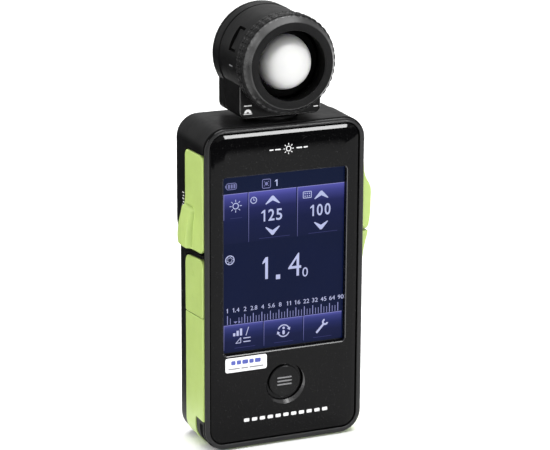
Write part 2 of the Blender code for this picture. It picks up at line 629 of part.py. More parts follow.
boolean(head_rear, plate("pocket_rear", [(rounded(-11.8, 11.8, 108.6, 121.0, 0.8, 1), 3.0), (rounded(-11.8, 11.8, 108.6, 121.0, 0.8, 1), 8.2)], None, cutter=True))
boolean(head_rear, disc("shaft_rear", 4.3, 105.0, 110.0, None, (0, SWIVEL_Y, 0), axis="Z", n=28, cutter=True))

# guide slots for a viewfinder on both flanks of the barrel, each closed by a plug
for side, nm in ((-1, "left"), (1, "right")):
    ang = math.radians(28.2)
    rot = Matrix.Rotation(-side * ang, 3, "Y")
    mid = Vector((side * math.cos(ang), 0, math.sin(ang)))

    def tilted(name, r0, r1, wy, wz, mat, bevel=0.0, **kw):
        b = block(name, -(r1 - r0) / 2, (r1 - r0) / 2, -wy / 2, wy / 2, -wz / 2, wz / 2, mat, bevel=bevel, seg=1, turn=rot)
        return b

    for name, r0, r1, wy, wz, mat, cutter in (("cut_guide_" + nm, 14.5, 17.0, 4.7, 8.0, None, True), ("guide_plug_" + nm, 14.75, 15.2, 3.9, 7.2, SOFT, False)):
        bm = bmesh.new()
        bmesh.ops.create_cube(bm, size=1.0)
        c = mid * ((r0 + r1) / 2) + Vector((0, -5.2, HEAD_Z))
        for v in bm.verts:
            v.co = rot @ Vector((v.co.x * (r1 - r0), v.co.y * wy, v.co.z * wz)) + c
        if cutter:
            ob = finish(name, bm, mat, cutter=True)
            boolean(head_front, ob)
        else:
            finish(name, bm, mat, origin=AXIS, parent=head_pivot)

for sx, nm in ((-9.6, "left"), (9.6, "right")):
    boolean(head_rear, turned("head_hole_" + nm, [(0, 7.5), (1.1, 7.5), (1.1, 9.0), (1.9, 9.0), (1.9, 11.0), (0, 11.0)], None, (sx, 0, 110.6), n=14, closed=False, cutter=True))
    turned("head_screw_" + nm, [(0, 3.0), (0.8, 3.0), (0.8, 9.25), (1.6, 9.25), (1.6, 9.65), (0, 9.68)], STEEL, (sx, 0, 110.6), n=12, closed=False,
           origin=AXIS, parent=head_pivot)

RING_ORIGIN = (0, -14.0, HEAD_Z)
ring_pivot = pivot("ring_pivot", RING_ORIGIN)
turned("retractor_ring", [(15.9, -10.25), (15.95, -14.4), (15.5, -15.1), (13.8, -17.55), (13.45, -17.8), (11.25, -17.8), (11.0, -17.55), (11.0, -13.2),
                          (12.2, -12.6), (12.2, -9.0), (13.25, -9.0), (13.25, -10.25)], HEADB, HC, n=44, origin=RING_ORIGIN, parent=ring_pivot)

dome_profile = [(0, DOME_Y - DOME_R)]
for i in range(1, 9):
    a = math.radians(90.0 * i / 8)
    dome_profile.append((DOME_R * math.sin(a), DOME_Y - DOME_R * math.cos(a)))
dome_profile += [(DOME_R, -10.3), (10.55, -10.3), (10.55, -9.6), (7.4, -9.6)]
for i in range(8, 0, -1):
    a = math.radians(90.0 * i / 8)
    dome_profile.append((7.4 * math.sin(a), DOME_Y - 7.4 * math.cos(a)))
dome_profile.append((0, DOME_Y - 7.4))
lumisphere = turned("lumisphere", dome_profile, WHITE, HC, n=32, closed=False, origin=(0, DOME_Y, HEAD_Z))
turned("dome_carrier", [(8.7, -9.3), (10.7, -9.3), (10.7, -6.0), (11.7, -6.0), (11.7, -4.6), (10.7, -4.6), (10.7, -3.0), (8.7, -3.0)], SOFT, HC, n=32,
       origin=(0, DOME_Y, HEAD_Z))
turned("light_tunnel", [(6.4, -3.8), (7.4, -3.8), (7.4, 4.6), (6.4, 4.6)], SOFT, HC, n=28, origin=AXIS, parent=head_pivot)
disc("sensor_filter", 5.9, 2.6, 3.6, SENSOR, HC, n=28, origin=AXIS, parent=head_pivot)
disc("sensor_board", 12.9, 6.3, 7.3, BOARD, HC, n=32, origin=AXIS, parent=head_pivot)
block("photodiode", -3.2, 3.2, 4.4, 6.0, HEAD_Z - 3.2, HEAD_Z + 3.2, CHIP, origin=AXIS, parent=head_pivot)
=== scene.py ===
"""Looks of the handheld light meter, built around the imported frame.

Shapes are written in millimetres and scaled to metres when a mesh is made.
"""

import math

import bmesh
import bpy
from mathutils import Matrix, Vector


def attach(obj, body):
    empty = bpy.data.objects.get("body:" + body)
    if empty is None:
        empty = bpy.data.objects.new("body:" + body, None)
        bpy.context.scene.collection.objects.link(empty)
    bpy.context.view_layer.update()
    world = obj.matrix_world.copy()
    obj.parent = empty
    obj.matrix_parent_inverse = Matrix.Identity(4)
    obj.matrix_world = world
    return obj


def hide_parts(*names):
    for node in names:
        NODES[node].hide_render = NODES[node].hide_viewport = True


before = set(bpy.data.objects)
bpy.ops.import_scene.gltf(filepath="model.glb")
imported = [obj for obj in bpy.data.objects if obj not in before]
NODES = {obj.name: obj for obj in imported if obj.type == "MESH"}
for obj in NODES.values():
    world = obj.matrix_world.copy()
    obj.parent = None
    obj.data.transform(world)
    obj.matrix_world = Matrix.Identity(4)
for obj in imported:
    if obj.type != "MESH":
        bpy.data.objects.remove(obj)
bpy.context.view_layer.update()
MM = 0.001

# ------------------------------------------------------------ main dimensions
BODY_HALF, BODY_H, CORNER_R = 27.45, 105.8, 7.6
FRONT_Y, FRAME_SEAM_Y, REAR_SEAM_Y = -13.0, -12.2, 3.55
BACK_LOW_Y, BACK_UP_Y, STEP_Z0, STEP_Z1 = 9.2, 12.4, 64.0, 72.0
WINDOW = (-21.0, 21.1, 31.8, 90.0)
MENU_X, MENU_Z = 0.3, 20.8
HEAD_Z, SWIVEL_Y = 124.6, 0.6
BARREL_R, BLOCK_HALF, BLOCK_Z0, HEAD_SEAM = 15.4, 13.65, 106.9, 4.4
DOME_R, DOME_Y = 8.6, -10.4
SIDE_Y0, SIDE_Y1 = -11.9, 3.25
EY0, EY1 = -11.7, -5.5
DOOR_X, DOOR_TOP = 13.0, 57.0
SOCKET_Z, POWER_X, POWER_Z = 80.0, 14.5, 93.5
SCREWS = [(-21.9, 9.5, "lower_left"), (21.9, 9.5, "lower_right"), (-21.9, 97.4, "upper_left"), (21.9, 97.4, "upper_right")]


# ================================================================ materials
def new_material(name):
    m = bpy.data.materials.new(name)
    m.use_nodes = True
    return m, m.node_tree, m.node_tree.nodes["Principled BSDF"]


def node(nt, kind, **values):
    n = nt.nodes.new(kind)
    for k, v in values.items():
        if k.startswith("_"):
            setattr(n, k[1:], v)
        else:
            n.inputs[k.replace("__", " ")].default_value = v
    return n


def object_coords(nt, stretch=None):
    tc = nt.nodes.new("ShaderNodeTexCoord")
    if stretch is None:
        return tc.outputs["Object"]
    mp = nt.nodes.new("ShaderNodeMapping")
    mp.inputs["Scale"].default_value = stretch
    nt.links.new(tc.outputs["Object"], mp.inputs["Vector"])
    return mp.outputs["Vector"]


def noise(nt, vec, scale, detail=3.0, rough=0.55):
    n = node(nt, "ShaderNodeTexNoise", Scale=scale, Detail=detail, Roughness=rough)
    nt.links.new(vec, n.inputs["Vector"])
    return n.outputs["Fac"]


def remap(nt, fac, lo, hi, a=0.35, b=0.65):
    n = node(nt, "ShaderNodeMapRange")
    n.inputs["From Min"].default_value = a
    n.inputs["From Max"].default_value = b
    n.inputs["To Min"].default_value = lo
    n.inputs["To Max"].default_value = hi
    nt.links.new(fac, n.inputs["Value"])
    return n.outputs["Result"]


def mix(nt, fac, a, b, blend="MIX"):
    n = nt.nodes.new("ShaderNodeMix")
    n.data_type = "RGBA"
    n.blend_type = blend
    if isinstance(fac, float):
        n.inputs[0].default_value = fac
    else:
        nt.links.new(fac, n.inputs[0])
    for sock, v in ((n.inputs[6], a), (n.inputs[7], b)):
        if isinstance(v, tuple):
            sock.default_value = (*v, 1.0)
        else:
            nt.links.new(v, sock)
    return n.outputs[2]


def math_node(nt, op, a, b=0.0, clamp=False):
    n = nt.nodes.new("ShaderNodeMath")
    n.operation = op
    n.use_clamp = clamp
    for i, v in enumerate((a, b)):
        if isinstance(v, (int, float)):
            n.inputs[i].default_value = v
        else:
            nt.links.new(v, n.inputs[i])
    return n.outputs[0]


def edge_mask(nt, radius, lo=0.80, hi=0.97):
    """Near 1 along sharp edges, 0 on open faces."""
    bev = nt.nodes.new("ShaderNodeBevel")
    bev.samples = 4
    bev.inputs["Radius"].default_value = radius
    geo = nt.nodes.new("ShaderNodeNewGeometry")
    dot = nt.nodes.new("ShaderNodeVectorMath")
    dot.operation = "DOT_PRODUCT"
    nt.links.new(bev.outputs["Normal"], dot.inputs[0])
    nt.links.new(geo.outputs["Normal"], dot.inputs[1])
    return remap(nt, dot.outputs["Value"], 1.0, 0.0, lo, hi)


def plastic(name, rgb, rough=0.45, spec=0.5, mottle=0.10, grain=(6500.0, 0.12), rvar=0.07, coat=0.0, coat_rough=0.1,
            wear=None, dust=0.0, metal=0.0, fine=(0.0, 0.0), sss=0.0, sheen=0.0):
    """Moulded surface: slow colour drift, fine grain in the bump, roughness that varies, light edge wear and dust."""
    m, nt, b = new_material(name)
    co = object_coords(nt)
    slow = noise(nt, co, 90.0, 4.0)
    quick = noise(nt, co, 700.0, 3.0)
    lo = tuple(c * (1 - mottle) for c in rgb)
    hi = tuple(min(c * (1 + mottle), 1.0) for c in rgb)
    colour = mix(nt, remap(nt, slow, 0.0, 1.0), lo, hi)
    colour = mix(nt, remap(nt, quick, 0.0, 0.35), colour, tuple(min(c * (1 + mottle * 1.6), 1.0) for c in rgb))
    if dust:
        specks = noise(nt, co, 2600.0, 2.0, 0.7)
        cloud = noise(nt, co, 45.0, 3.0)
        amount = math_node(nt, "MULTIPLY", remap(nt, specks, 0.0, 1.0, 0.62, 0.75), remap(nt, cloud, 0.2, 1.0))
        colour = mix(nt, math_node(nt, "MULTIPLY", amount, dust, True), colour, (0.45, 0.44, 0.42))
    r = remap(nt, noise(nt, co, 160.0, 5.0, 0.6), max(rough - rvar, 0.02), rough + rvar)
    if wear:
        worn = math_node(nt, "MULTIPLY", edge_mask(nt, wear[0]), remap(nt, noise(nt, co, 420.0, 4.0, 0.65), 0.15, 1.0), True)
        colour = mix(nt, math_node(nt, "MULTIPLY", worn, wear[2], True), colour, wear[1])
        r = math_node(nt, "SUBTRACT", r, math_node(nt, "MULTIPLY", worn, 0.10))
    nt.links.new(colour, b.inputs["Base Color"])
    nt.links.new(r, b.inputs["Roughness"])
    b.inputs["Metallic"].default_value = metal
    b.inputs["Specular IOR Level"].default_value = spec
    b.inputs["Coat Weight"].default_value = coat
    b.inputs["Coat Roughness"].default_value = coat_rough
    if sheen:
        b.inputs["Sheen Weight"].default_value = sheen
        b.inputs["Sheen Roughness"].default_value = 0.5
    if sss:
        b.inputs["Subsurface Weight"].default_value = sss
        b.inputs["Subsurface Radius"].default_value = (0.6, 0.8, 0.35)
        b.inputs["Subsurface Scale"].default_value = 0.0012
    if grain[1]:
        v = node(nt, "ShaderNodeTexVoronoi", Scale=grain[0])
        v.feature = "SMOOTH_F1"
        nt.links.new(co, v.inputs["Vector"])
        g2 = noise(nt, co, grain[0] * 0.45, 2.0)
        h = math_node(nt, "ADD", v.outputs["Distance"], g2)
        bump = node(nt, "ShaderNodeBump", Strength=grain[1], Distance=0.00003)
        nt.links.new(h, bump.inputs["Height"])
        if fine[1]:
            low = noise(nt, co, fine[0], 2.0)
            b2 = node(nt, "ShaderNodeBump", Strength=fine[1], Distance=0.0001)
            nt.links.new(low, b2.inputs["Height"])
            nt.links.new(bump.outputs["Normal"], b2.inputs["Normal"])
            nt.links.new(b2.outputs["Normal"], b.inputs["Normal"])
        else:
            nt.links.new(bump.outputs["Normal"], b.inputs["Normal"])
    return m


def polished(name, rgb, rough=0.045, spec=0.25, smudge=0.045, ripple=0.008):
    """Piano-black plastic: deep gloss, faint smudges and hairlines, a trace of moulding ripple."""
    m, nt, b = new_material(name)
    co = object_coords(nt)
    lines = noise(nt, object_coords(nt, (260.0, 260.0, 9000.0)), 1.0, 2.0)
    lines2 = noise(nt, object_coords(nt, (7000.0, 260.0, 200.0)), 1.0, 2.0)
    hair = math_node(nt, "MAXIMUM", remap(nt, lines, 0.0, 1.0, 0.68, 0.78), remap(nt, lines2, 0.0, 1.0, 0.70, 0.80))
    cloud = noise(nt, co, 60.0, 4.0, 0.6)
    r = remap(nt, cloud, rough, rough + smudge, 0.45, 0.75)
    r = math_node(nt, "ADD", r, math_node(nt, "MULTIPLY", hair, 0.05))
    specks = noise(nt, co, 3200.0, 1.0, 0.5)
    colour = mix(nt, remap(nt, specks, 0.0, 0.10, 0.70, 0.78), rgb, (0.30, 0.30, 0.30))
    nt.links.new(colour, b.inputs["Base Color"])
    nt.links.new(r, b.inputs["Roughness"])
    b.inputs["Specular IOR Level"].default_value = spec
    bump = node(nt, "ShaderNodeBump", Strength=ripple, Distance=0.0004)
    nt.links.new(noise(nt, co, 110.0, 2.0), bump.inputs["Height"])
    nt.links.new(bump.outputs["Normal"], b.inputs["Normal"])
    return m


def lit(name, stops, axis="Z", span=(0.0, 1.0), strength=1.0, base=(0.0015, 0.002, 0.005), spec=0.05, rough=0.12, pixels=0.10):
    """Lit display colour: a ramp along one axis (span in millimetres) with the fine lines of the pixel grid."""
    m, nt, b = new_material(name)
    co = object_coords(nt)
    sep = nt.nodes.new("ShaderNodeSeparateXYZ")
    nt.links.new(co, sep.inputs[0])
    t = remap(nt, sep.outputs[axis], 0.0, 1.0, span[0] * MM, span[1] * MM)
    ramp_n = nt.nodes.new("ShaderNodeValToRGB")
    nt.links.new(t, ramp_n.inputs["Fac"])
    e = ramp_n.color_ramp.elements
    e[0].position, e[0].color = stops[0][0], (*stops[0][1], 1.0)
    e[1].position, e[1].color = stops[-1][0], (*stops[-1][1], 1.0)
    for p, c in stops[1:-1]:
        k = e.new(p)
        k.color = (*c, 1.0)
    # pixel rows and columns, 0.17 mm apart
    rows = math_node(nt, "SINE", math_node(nt, "MULTIPLY", sep.outputs["Z"], 2 * math.pi / 0.00034))
    cols = math_node(nt, "SINE", math_node(nt, "MULTIPLY", sep.outputs["X"], 2 * math.pi / 0.00034))
    grid = math_node(nt, "ADD", math_node(nt, "MULTIPLY", rows, pixels * 0.5), math_node(nt, "MULTIPLY", cols, pixels * 0.5))
    drift = remap(nt, noise(nt, co, 55.0, 2.0), 0.94, 1.06)
    gain = math_node(nt, "MULTIPLY", math_node(nt, "ADD", grid, 1.0), drift)
    grey = nt.nodes.new("ShaderNodeCombineXYZ")
    for i in range(3):
        nt.links.new(gain, grey.inputs[i])
    col = mix(nt, 1.0, ramp_n.outputs["Color"], grey.outputs[0], "MULTIPLY")
    nt.links.new(col, b.inputs["Emission Color"])
    b.inputs["Emission Strength"].default_value = strength
    b.inputs["Base Color"].default_value = (*base, 1.0)
    b.inputs["Specular IOR Level"].default_value = spec
    nt.links.new(remap(nt, noise(nt, co, 80.0, 3.0), rough, rough + 0.06), b.inputs["Roughness"])
    return m


def metal(name, rgb, rough=0.3, brushed=(0.0, 0.0, 0.0), scale=900.0, tarnish=0.08):
    m, nt, b = new_material(name)
    co = object_coords(nt)
    st = object_coords(nt, brushed) if any(brushed) else co
    n1 = noise(nt, st, 1.0 if any(brushed) else scale, 3.0)
    n2 = noise(nt, co, 120.0, 4.0)
    colour = mix(nt, remap(nt, n2, 0.0, 1.0), tuple(c * (1 - tarnish * 2) for c in rgb), rgb)
    nt.links.new(colour, b.inputs["Base Color"])
    b.inputs["Metallic"].default_value = 1.0
    r = math_node(nt, "ADD", remap(nt, n1, rough * 0.8, rough * 1.25), remap(nt, n2, 0.0, 0.06))
    nt.links.new(r, b.inputs["Roughness"])
    bump = node(nt, "ShaderNodeBump", Strength=0.06, Distance=0.00003)
    nt.links.new(n1, bump.inputs["Height"])
    nt.links.new(bump.outputs["Normal"], b.inputs["Normal"])
    return m


M_BEZEL = plastic("bezel_satin_black", (0.0075, 0.0075, 0.008), 0.34, 0.28, 0.14, (7000.0, 0.06), 0.06,
                  wear=(0.00025, (0.045, 0.045, 0.048), 0.25), dust=0.04)
M_CASE = plastic("casing_black", (0.0042, 0.0042, 0.0044), 0.36, 0.075, 0.16, (5200.0, 0.14), 0.06,
                 wear=(0.00025, (0.035, 0.035, 0.037), 0.25), dust=0.02)
M_REAR = plastic("rear_cover_black", (0.0046, 0.0046, 0.0049), 0.40, 0.085, 0.16, (3600.0, 0.22), 0.06,
                 wear=(0.00025, (0.04, 0.04, 0.042), 0.25), dust=0.025)
M_GLOSS = polished("panel_piano_black", (0.0020, 0.0020, 0.0022), 0.030, 0.115, 0.035, 0.005)
M_BUTTON = polished("menu_key_black", (0.0035, 0.0035, 0.0038), 0.16, 0.13, 0.05, 0.01)
M_GREEN = plastic("grip_light_green", (0.355, 0.468, 0.130), 0.36, 0.40, 0.035, (5200.0, 0.10), 0.06, sss=0.06,
                  wear=(0.00035, (0.55, 0.68, 0.30), 0.30), dust=0.03)
M_HEAD = plastic("head_grained_black", (0.0048, 0.0048, 0.0050), 0.42, 0.080, 0.18, (3800.0, 0.24), 0.06,
                 wear=(0.0002, (0.045, 0.045, 0.047), 0.30), dust=0.025)
M_RING = plastic("ring_black", (0.0055, 0.0055, 0.0057), 0.44, 0.12, 0.18, (3400.0, 0.24), 0.06,
                 wear=(0.0002, (0.045, 0.045, 0.047), 0.30), dust=0.03)
M_SOFT = plastic("soft_black", (0.009, 0.009, 0.0093), 0.62, 0.25, 0.15, (3000.0, 0.2), 0.08, dust=0.08)
# Flat, near-black and rough: the finish of the light baffles inside the head, and also painted shade laid on the walls
# of grooves, wells, bores and slots so they read dark.
M_BAFFLE_RECESS_SHADE = plastic("baffle_and_recess_shade_black", (0.0016, 0.0016, 0.0016), 0.80, 0.05, 0.2, (3000.0, 0.3), 0.06)
M_RIM = polished("rim_polish_black", (0.004, 0.004, 0.0045), 0.12, 1.0, 0.03, 0.004)
M_CONE = plastic("ring_cone_satin", (0.0055, 0.0055, 0.0057), 0.30, 0.60, 0.16, (3400.0, 0.18), 0.05, dust=0.03)
M_EDGE = plastic("edge_satin", (0.008, 0.008, 0.0082), 0.24, 0.9, 0.12, (4000.0, 0.05), 0.04)
# A darker, rougher copy of the ring black for the ring's front face: painted shade on the face that looks forward.
M_RING_FACE_SHADE = plastic("ring_face_painted_shade_black", (0.0045, 0.0045, 0.0047), 0.55, 0.10, 0.16, (3200.0, 0.3), 0.06, dust=0.03)
M_DOME = plastic("dome_opal_white", (0.56, 0.56, 0.556), 0.42, 0.35, 0.012, (2500.0, 0.03), 0.05, sss=0.25)
M_PRINT = plastic("print_white", (0.62, 0.62, 0.62), 0.55, 0.4, 0.08, (5000.0, 0.15), 0.05)
M_PRINT_GREY = plastic("print_grey", (0.15, 0.15, 0.155), 0.5, 0.4, 0.08, (5000.0, 0.15), 0.05)
M_PAPER = plastic("label_white_film", (0.80, 0.80, 0.81), 0.42, 0.45, 0.02, (2600.0, 0.10), 0.07)
M_LABEL_BLUE = plastic("label_print_blue", (0.055, 0.075, 0.32), 0.45, 0.4, 0.10, (2600.0, 0.08), 0.05)
M_LABEL_GREY = plastic("label_print_grey", (0.22, 0.22, 0.23), 0.45, 0.4, 0.10, (2600.0, 0.08), 0.05)
M_GLASS = polished("display_cover_black", (0.0030, 0.0032, 0.0045), 0.05, 0.22, 0.04, 0.006)
M_TRAY = plastic("tray_grey", (0.055, 0.055, 0.058), 0.6, 0.4, 0.15, (2500.0, 0.2), 0.08)
M_BOARD = plastic("circuit_board_green", (0.012, 0.11, 0.045), 0.35, 0.5, 0.25, (2500.0, 0.2), 0.08)
M_CHIP = plastic("component_black", (0.018, 0.018, 0.019), 0.5, 0.4, 0.2, (3500.0, 0.25), 0.08)
M_STEEL = metal("plated_steel", (0.62, 0.62, 0.64), 0.26)
M_SCREW = metal("blackened_screw", (0.10, 0.10, 0.105), 0.34, scale=1600.0)
M_BRASS = metal("turned_brass", (0.72, 0.55, 0.27), 0.26, scale=1500.0)
M_FILTER = polished("sensor_filter_glass", (0.03, 0.10, 0.10), 0.04, 0.5, 0.03, 0.004)

NAVY_TOP, NAVY_MID, NAVY_LOW = (0.0018, 0.0060, 0.028), (0.0010, 0.0044, 0.031), (0.0012, 0.0050, 0.030)
M_LCD = lit("display_navy", [(0.0, NAVY_LOW), (0.5, NAVY_MID), (1.0, NAVY_TOP)], span=(32.4, 89.5))
M_TILE_UP = lit("display_tiles_upper", [(0.0, (0.0032, 0.0065, 0.036)), (0.42, (0.0045, 0.0080, 0.050)), (0.68, (0.012, 0.015, 0.088)),
                                        (0.88, (0.046, 0.050, 0.240)), (1.0, (0.095, 0.095, 0.420))], span=(68.2, 84.3))
M_TILE_LOW = lit("display_tiles_lower", [(0.0, (0.0040, 0.0070, 0.040)), (0.40, (0.006, 0.009, 0.050)), (0.66, (0.013, 0.018, 0.098)),
                                         (0.88, (0.036, 0.043, 0.195)), (1.0, (0.085, 0.090, 0.36))], span=(32.4, 41.55))
M_TEXT = lit("display_symbols", [(0.0, (0.52, 0.54, 0.80)), (1.0, (0.50, 0.55, 0.83))], span=(32.4, 89.5), pixels=0.06)
M_DIM = lit("display_symbols_dim", [(0.0, (0.17, 0.17, 0.40)), (1.0, (0.19, 0.20, 0.40))], span=(78.0, 89.5), pixels=0.06)
M_TICK = lit("display_scale", [(0.0, (0.24, 0.25, 0.52)), (1.0, (0.30, 0.31, 0.60))], span=(41.0, 45.0), pixels=0.06)
M_LINE = lit("display_lines", [(0.0, (0.045, 0.05, 0.16)), (1.0, (0.27, 0.27, 0.62))], span=(66.0, 84.3), pixels=0.04)
M_LINE2 = lit("display_lines_lower", [(0.0, (0.045, 0.05, 0.17)), (1.0, (0.25, 0.25, 0.60))], span=(32.4, 41.6), pixels=0.04)
M_FAINT = lit("display_faint_lines", [(0.0, (0.030, 0.032, 0.13)), (1.0, (0.030, 0.034, 0.12))], span=(32.4, 89.5), pixels=0.04)


# ================================================================ mesh tools
def to_object(name, bm, mat=None):
    bmesh.ops.recalc_face_normals(bm, faces=bm.faces)
    for v in bm.verts:
        v.co *= MM
    me = bpy.data.meshes.new(name)
    bm.to_mesh(me)
    bm.free()
    ob = bpy.data.objects.new(name, me)
    bpy.context.scene.collection.objects.link(ob)
    if mat is not None:
        me.materials.append(mat)
    return ob


def remove(*objs):
    for o in objs:
        me = o.data
        bpy.data.objects.remove(o, do_unlink=True)
        if me is not None and me.users == 0 and isinstance(me, bpy.types.Mesh):
            bpy.data.meshes.remove(me)


def bake(ob):
    """Applies the modifiers to the mesh."""
    dg = bpy.context.evaluated_depsgraph_get()
    dg.update()
    me = bpy.data.meshes.new_from_object(ob.evaluated_get(dg), preserve_all_data_layers=True, depsgraph=dg)
    old = ob.data
    ob.modifiers.clear()
    ob.data = me
    if old.users == 0:
        bpy.data.meshes.remove(old)


def carve(ob, *cutters, op="DIFFERENCE", keep=False):
    for c in cutters:
        m = ob.modifiers.new("b", "BOOLEAN")
        m.operation = op
        m.solver = "EXACT"
        m.object = c
        m.material_mode = "TRANSFER"
    bake(ob)
    bm = bmesh.new()
    bm.from_mesh(ob.data)
    bmesh.ops.remove_doubles(bm, verts=bm.verts, dist=4e-6)
    bmesh.ops.dissolve_degenerate(bm, dist=4e-6, edges=bm.edges)
    bm.to_mesh(ob.data)
    bm.free()
    if not keep:
        remove(*cutters)
    return ob


def piece(ob, body, replaces=(), smooth=30, weighted=True, clean=True):
    while len(ob.data.materials) and ob.data.materials[-1] is None:
        ob.data.materials.pop()
    if clean:
        bm = bmesh.new()
        bm.from_mesh(ob.data)
        bmesh.ops.remove_doubles(bm, verts=bm.verts, dist=1e-6)
        bmesh.ops.dissolve_degenerate(bm, dist=1e-7, edges=bm.edges)
        bm.to_mesh(ob.data)
        bm.free()
    ob.data.shade_smooth()
    ob.data.set_sharp_from_angle(angle=math.radians(smooth))
    if weighted:
        w = ob.modifiers.new("weighted", "WEIGHTED_NORMAL")
        w.keep_sharp = True
        w.weight = 50
    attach(ob, body)
    if replaces:
        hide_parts(*replaces)
    return ob


def rounded(x0, x1, z0, z1, r, n=12, marks=()):
    pts = []
    for cx, cz, a0 in ((x1 - r, z0 + r, -90), (x1 - r, z1 - r, 0), (x0 + r, z1 - r, 90), (x0 + r, z0 + r, 180)):
        for i in range(n + 1):
            a = math.radians(a0 + 90.0 * i / n)
            pts.append((cx + r * math.cos(a), cz + r * math.sin(a)))
        if a0 == -90:
            for z in marks:
                pts.append((x1, z))
        if a0 == 90:
            for z in reversed(marks):
                pts.append((x0, z))
    return pts


def outline(inset=0.0, n=14, marks=()):
    return rounded(-BODY_HALF + inset, BODY_HALF - inset, inset, BODY_H - inset, max(CORNER_R - inset, 0.4), n, marks)


def at_y(pts, y):
    return [(x, y, z) for x, z in pts]


def skin(bm, rings, closed_u=False, cap0=True, cap1=True):
    vr = [[bm.verts.new(Vector(p)) for p in ring] for ring in rings]
    n = len(vr[0])
    pairs = list(zip(vr, vr[1:]))
    if closed_u:
        pairs.append((vr[-1], vr[0]))
    for a, b in pairs:
        for i in range(n):
            j = (i + 1) % n
            bm.faces.new((a[i], a[j], b[j], b[i]))
    if not closed_u:
        if cap0:
            bm.faces.new(list(reversed(vr[0])))
        if cap1:
            bm.faces.new(vr[-1])
    return vr


def loft(name, loops, mat=None, closed_u=False):
    bm = bmesh.new()
    skin(bm, [at_y(p, y) for p, y in loops], closed_u=closed_u)
    return to_object(name, bm, mat)


def box_mesh(bm, x0, x1, y0, y1, z0, z1, bevel=0.0, seg=2, turn=None):
    made = bmesh.ops.create_cube(bm, size=1.0)["verts"]
    for v in made:
        v.co = Vector((v.co.x * (x1 - x0), v.co.y * (y1 - y0), v.co.z * (z1 - z0)))
    if bevel:
        edges = {e for v in made for e in v.link_edges}
        res = bmesh.ops.bevel(bm, geom=list(edges), offset=bevel, segments=seg, profile=0.5, affect="EDGES")
        made = list({v for f in res["faces"] for v in f.verts} | {v for v in made if v.is_valid})
    if turn is not None:
        for v in made:
            v.co = turn @ v.co
    c = Vector(((x0 + x1) / 2, (y0 + y1) / 2, (z0 + z1) / 2))
    for v in made:
        v.co += c


def block(name, *dims, mat=None, bevel=0.0, seg=2, turn=None):
    bm = bmesh.new()
    box_mesh(bm, *dims, bevel=bevel, seg=seg, turn=turn)
    return to_object(name, bm, mat)


def lathe(name, profile, centre, axis="Y", n=96, closed=False, mat=None, phase=0.0, shape=None):
    """Spins a (radius, height) profile.  shape(radius, height, angle) may move a point."""
    bm = bmesh.new()
    cx, cy, cz = centre

    def place(r, t, a):
        if shape is not None and r > 0:
            r, t = shape(r, t, a)
        u, v = r * math.cos(a), r * math.sin(a)
        if axis == "Y":
            return (cx + u, cy + t, cz + v)
        if axis == "Z":
            return (cx + u, cy + v, cz + t)
        return (cx + t, cy + u, cz + v)

    rows = []
    for r, t in profile:
        if r == 0:
            rows.append([bm.verts.new(place(0, t, 0))])
        else:
            rows.append([bm.verts.new(place(r, t, phase + 2 * math.pi * i / n)) for i in range(n)])
    pairs = list(zip(rows, rows[1:]))
    if closed:
        pairs.append((rows[-1], rows[0]))
    for a, b in pairs:
        for i in range(n):
            j = (i + 1) % n
            if len(a) == 1 and len(b) == 1:
                break
            if len(a) == 1:
                bm.faces.new((a[0], b[i], b[j]))
            elif len(b) == 1:
                bm.faces.new((a[i], a[j], b[0]))
            else:
                bm.faces.new((a[i], a[j], b[j], b[i]))
    return to_object(name, bm, mat)


def arc(cx, cy, r, a0, a1, n):
    """Points of an arc in a (radius, height) profile, angles in degrees."""
    return [(cx + r * math.cos(math.radians(a0 + (a1 - a0) * i / n)), cy + r * math.sin(math.radians(a0 + (a1 - a0) * i / n))) for i in range(n + 1)]


def smoothstep(t):
    t = min(max(t, 0.0), 1.0)
    return t * t * (3 - 2 * t)


def ramp(v, table):
    if v <= table[0][0]:
        return table[0][1]
    for (a, fa), (b, fb) in zip(table, table[1:]):
        if v <= b:
            return fa + (fb - fa) * (v - a) / (b - a)
    return table[-1][1]


def soft_ramp(v, table):
    """As ramp, rounded at the corners by averaging over a short span."""
    return sum(ramp(v + d, table) for d in (-1.2, -0.8, -0.4, 0.0, 0.4, 0.8, 1.2)) / 7.0


def side_skin(name, side, z0, z1, y0, y1, height, x_in, corner=2.0, slope0=0.0, slope1=0.0, columns=24, rows=60, edge=0.45,
              x_out=BODY_HALF, mat=None, ends=8, corner_top=None):
    """An inlay on a side wall with rounded corners and rounded rims."""
    bm = bmesh.new()
    span = z1 - z0
    zs = []
    corner_top = corner if corner_top is None else corner_top
    tops = []
    for i in range(ends + 1):
        a = math.radians(90.0 * i / ends)
        zs.append((corner * (1 - math.cos(a)), corner * (1 - math.sin(a))))
        tops.append((corner_top * (1 - math.cos(a)), corner_top * (1 - math.sin(a))))
    mid = [(corner + (span - corner - corner_top) * k / rows, 0.0) for k in range(1, rows)]
    top = [(span - d, ins) for d, ins in reversed(tops)]
    ym = (y0 + y1) / 2
    rings = []
    for d, ins in zs + mid + top:
        t = d / span
        sl = slope0 * (1 - t) + slope1 * t
        ya, yb = y0 + ins, y1 - ins
        ez = min(d, span - d)
        outer = []
        for c in range(columns + 1):
            s = c / columns
            # closer together near the rims
            s = 0.5 - 0.5 * math.cos(math.pi * s) if edge else s
            y = ya + (yb - ya) * s
            z = z0 + d + sl * (y - ym)
            e = min(y - ya, yb - y, ez) if edge else 1e9
            drop = edge - math.sqrt(max(edge * edge - (edge - e) ** 2, 0.0)) if edge and e < edge else 0.0
            outer.append((side * (x_out + height(y, z) - drop), y, z))
        inner = [(side * x_in, yb, z0 + d + sl * (yb - ym)), (side * x_in, ya, z0 + d + sl * (ya - ym))]
        rings.append(outer + inner)
    skin(bm, rings)
    return to_object(name, bm, mat)


def flat(y, z):
    return 0.0


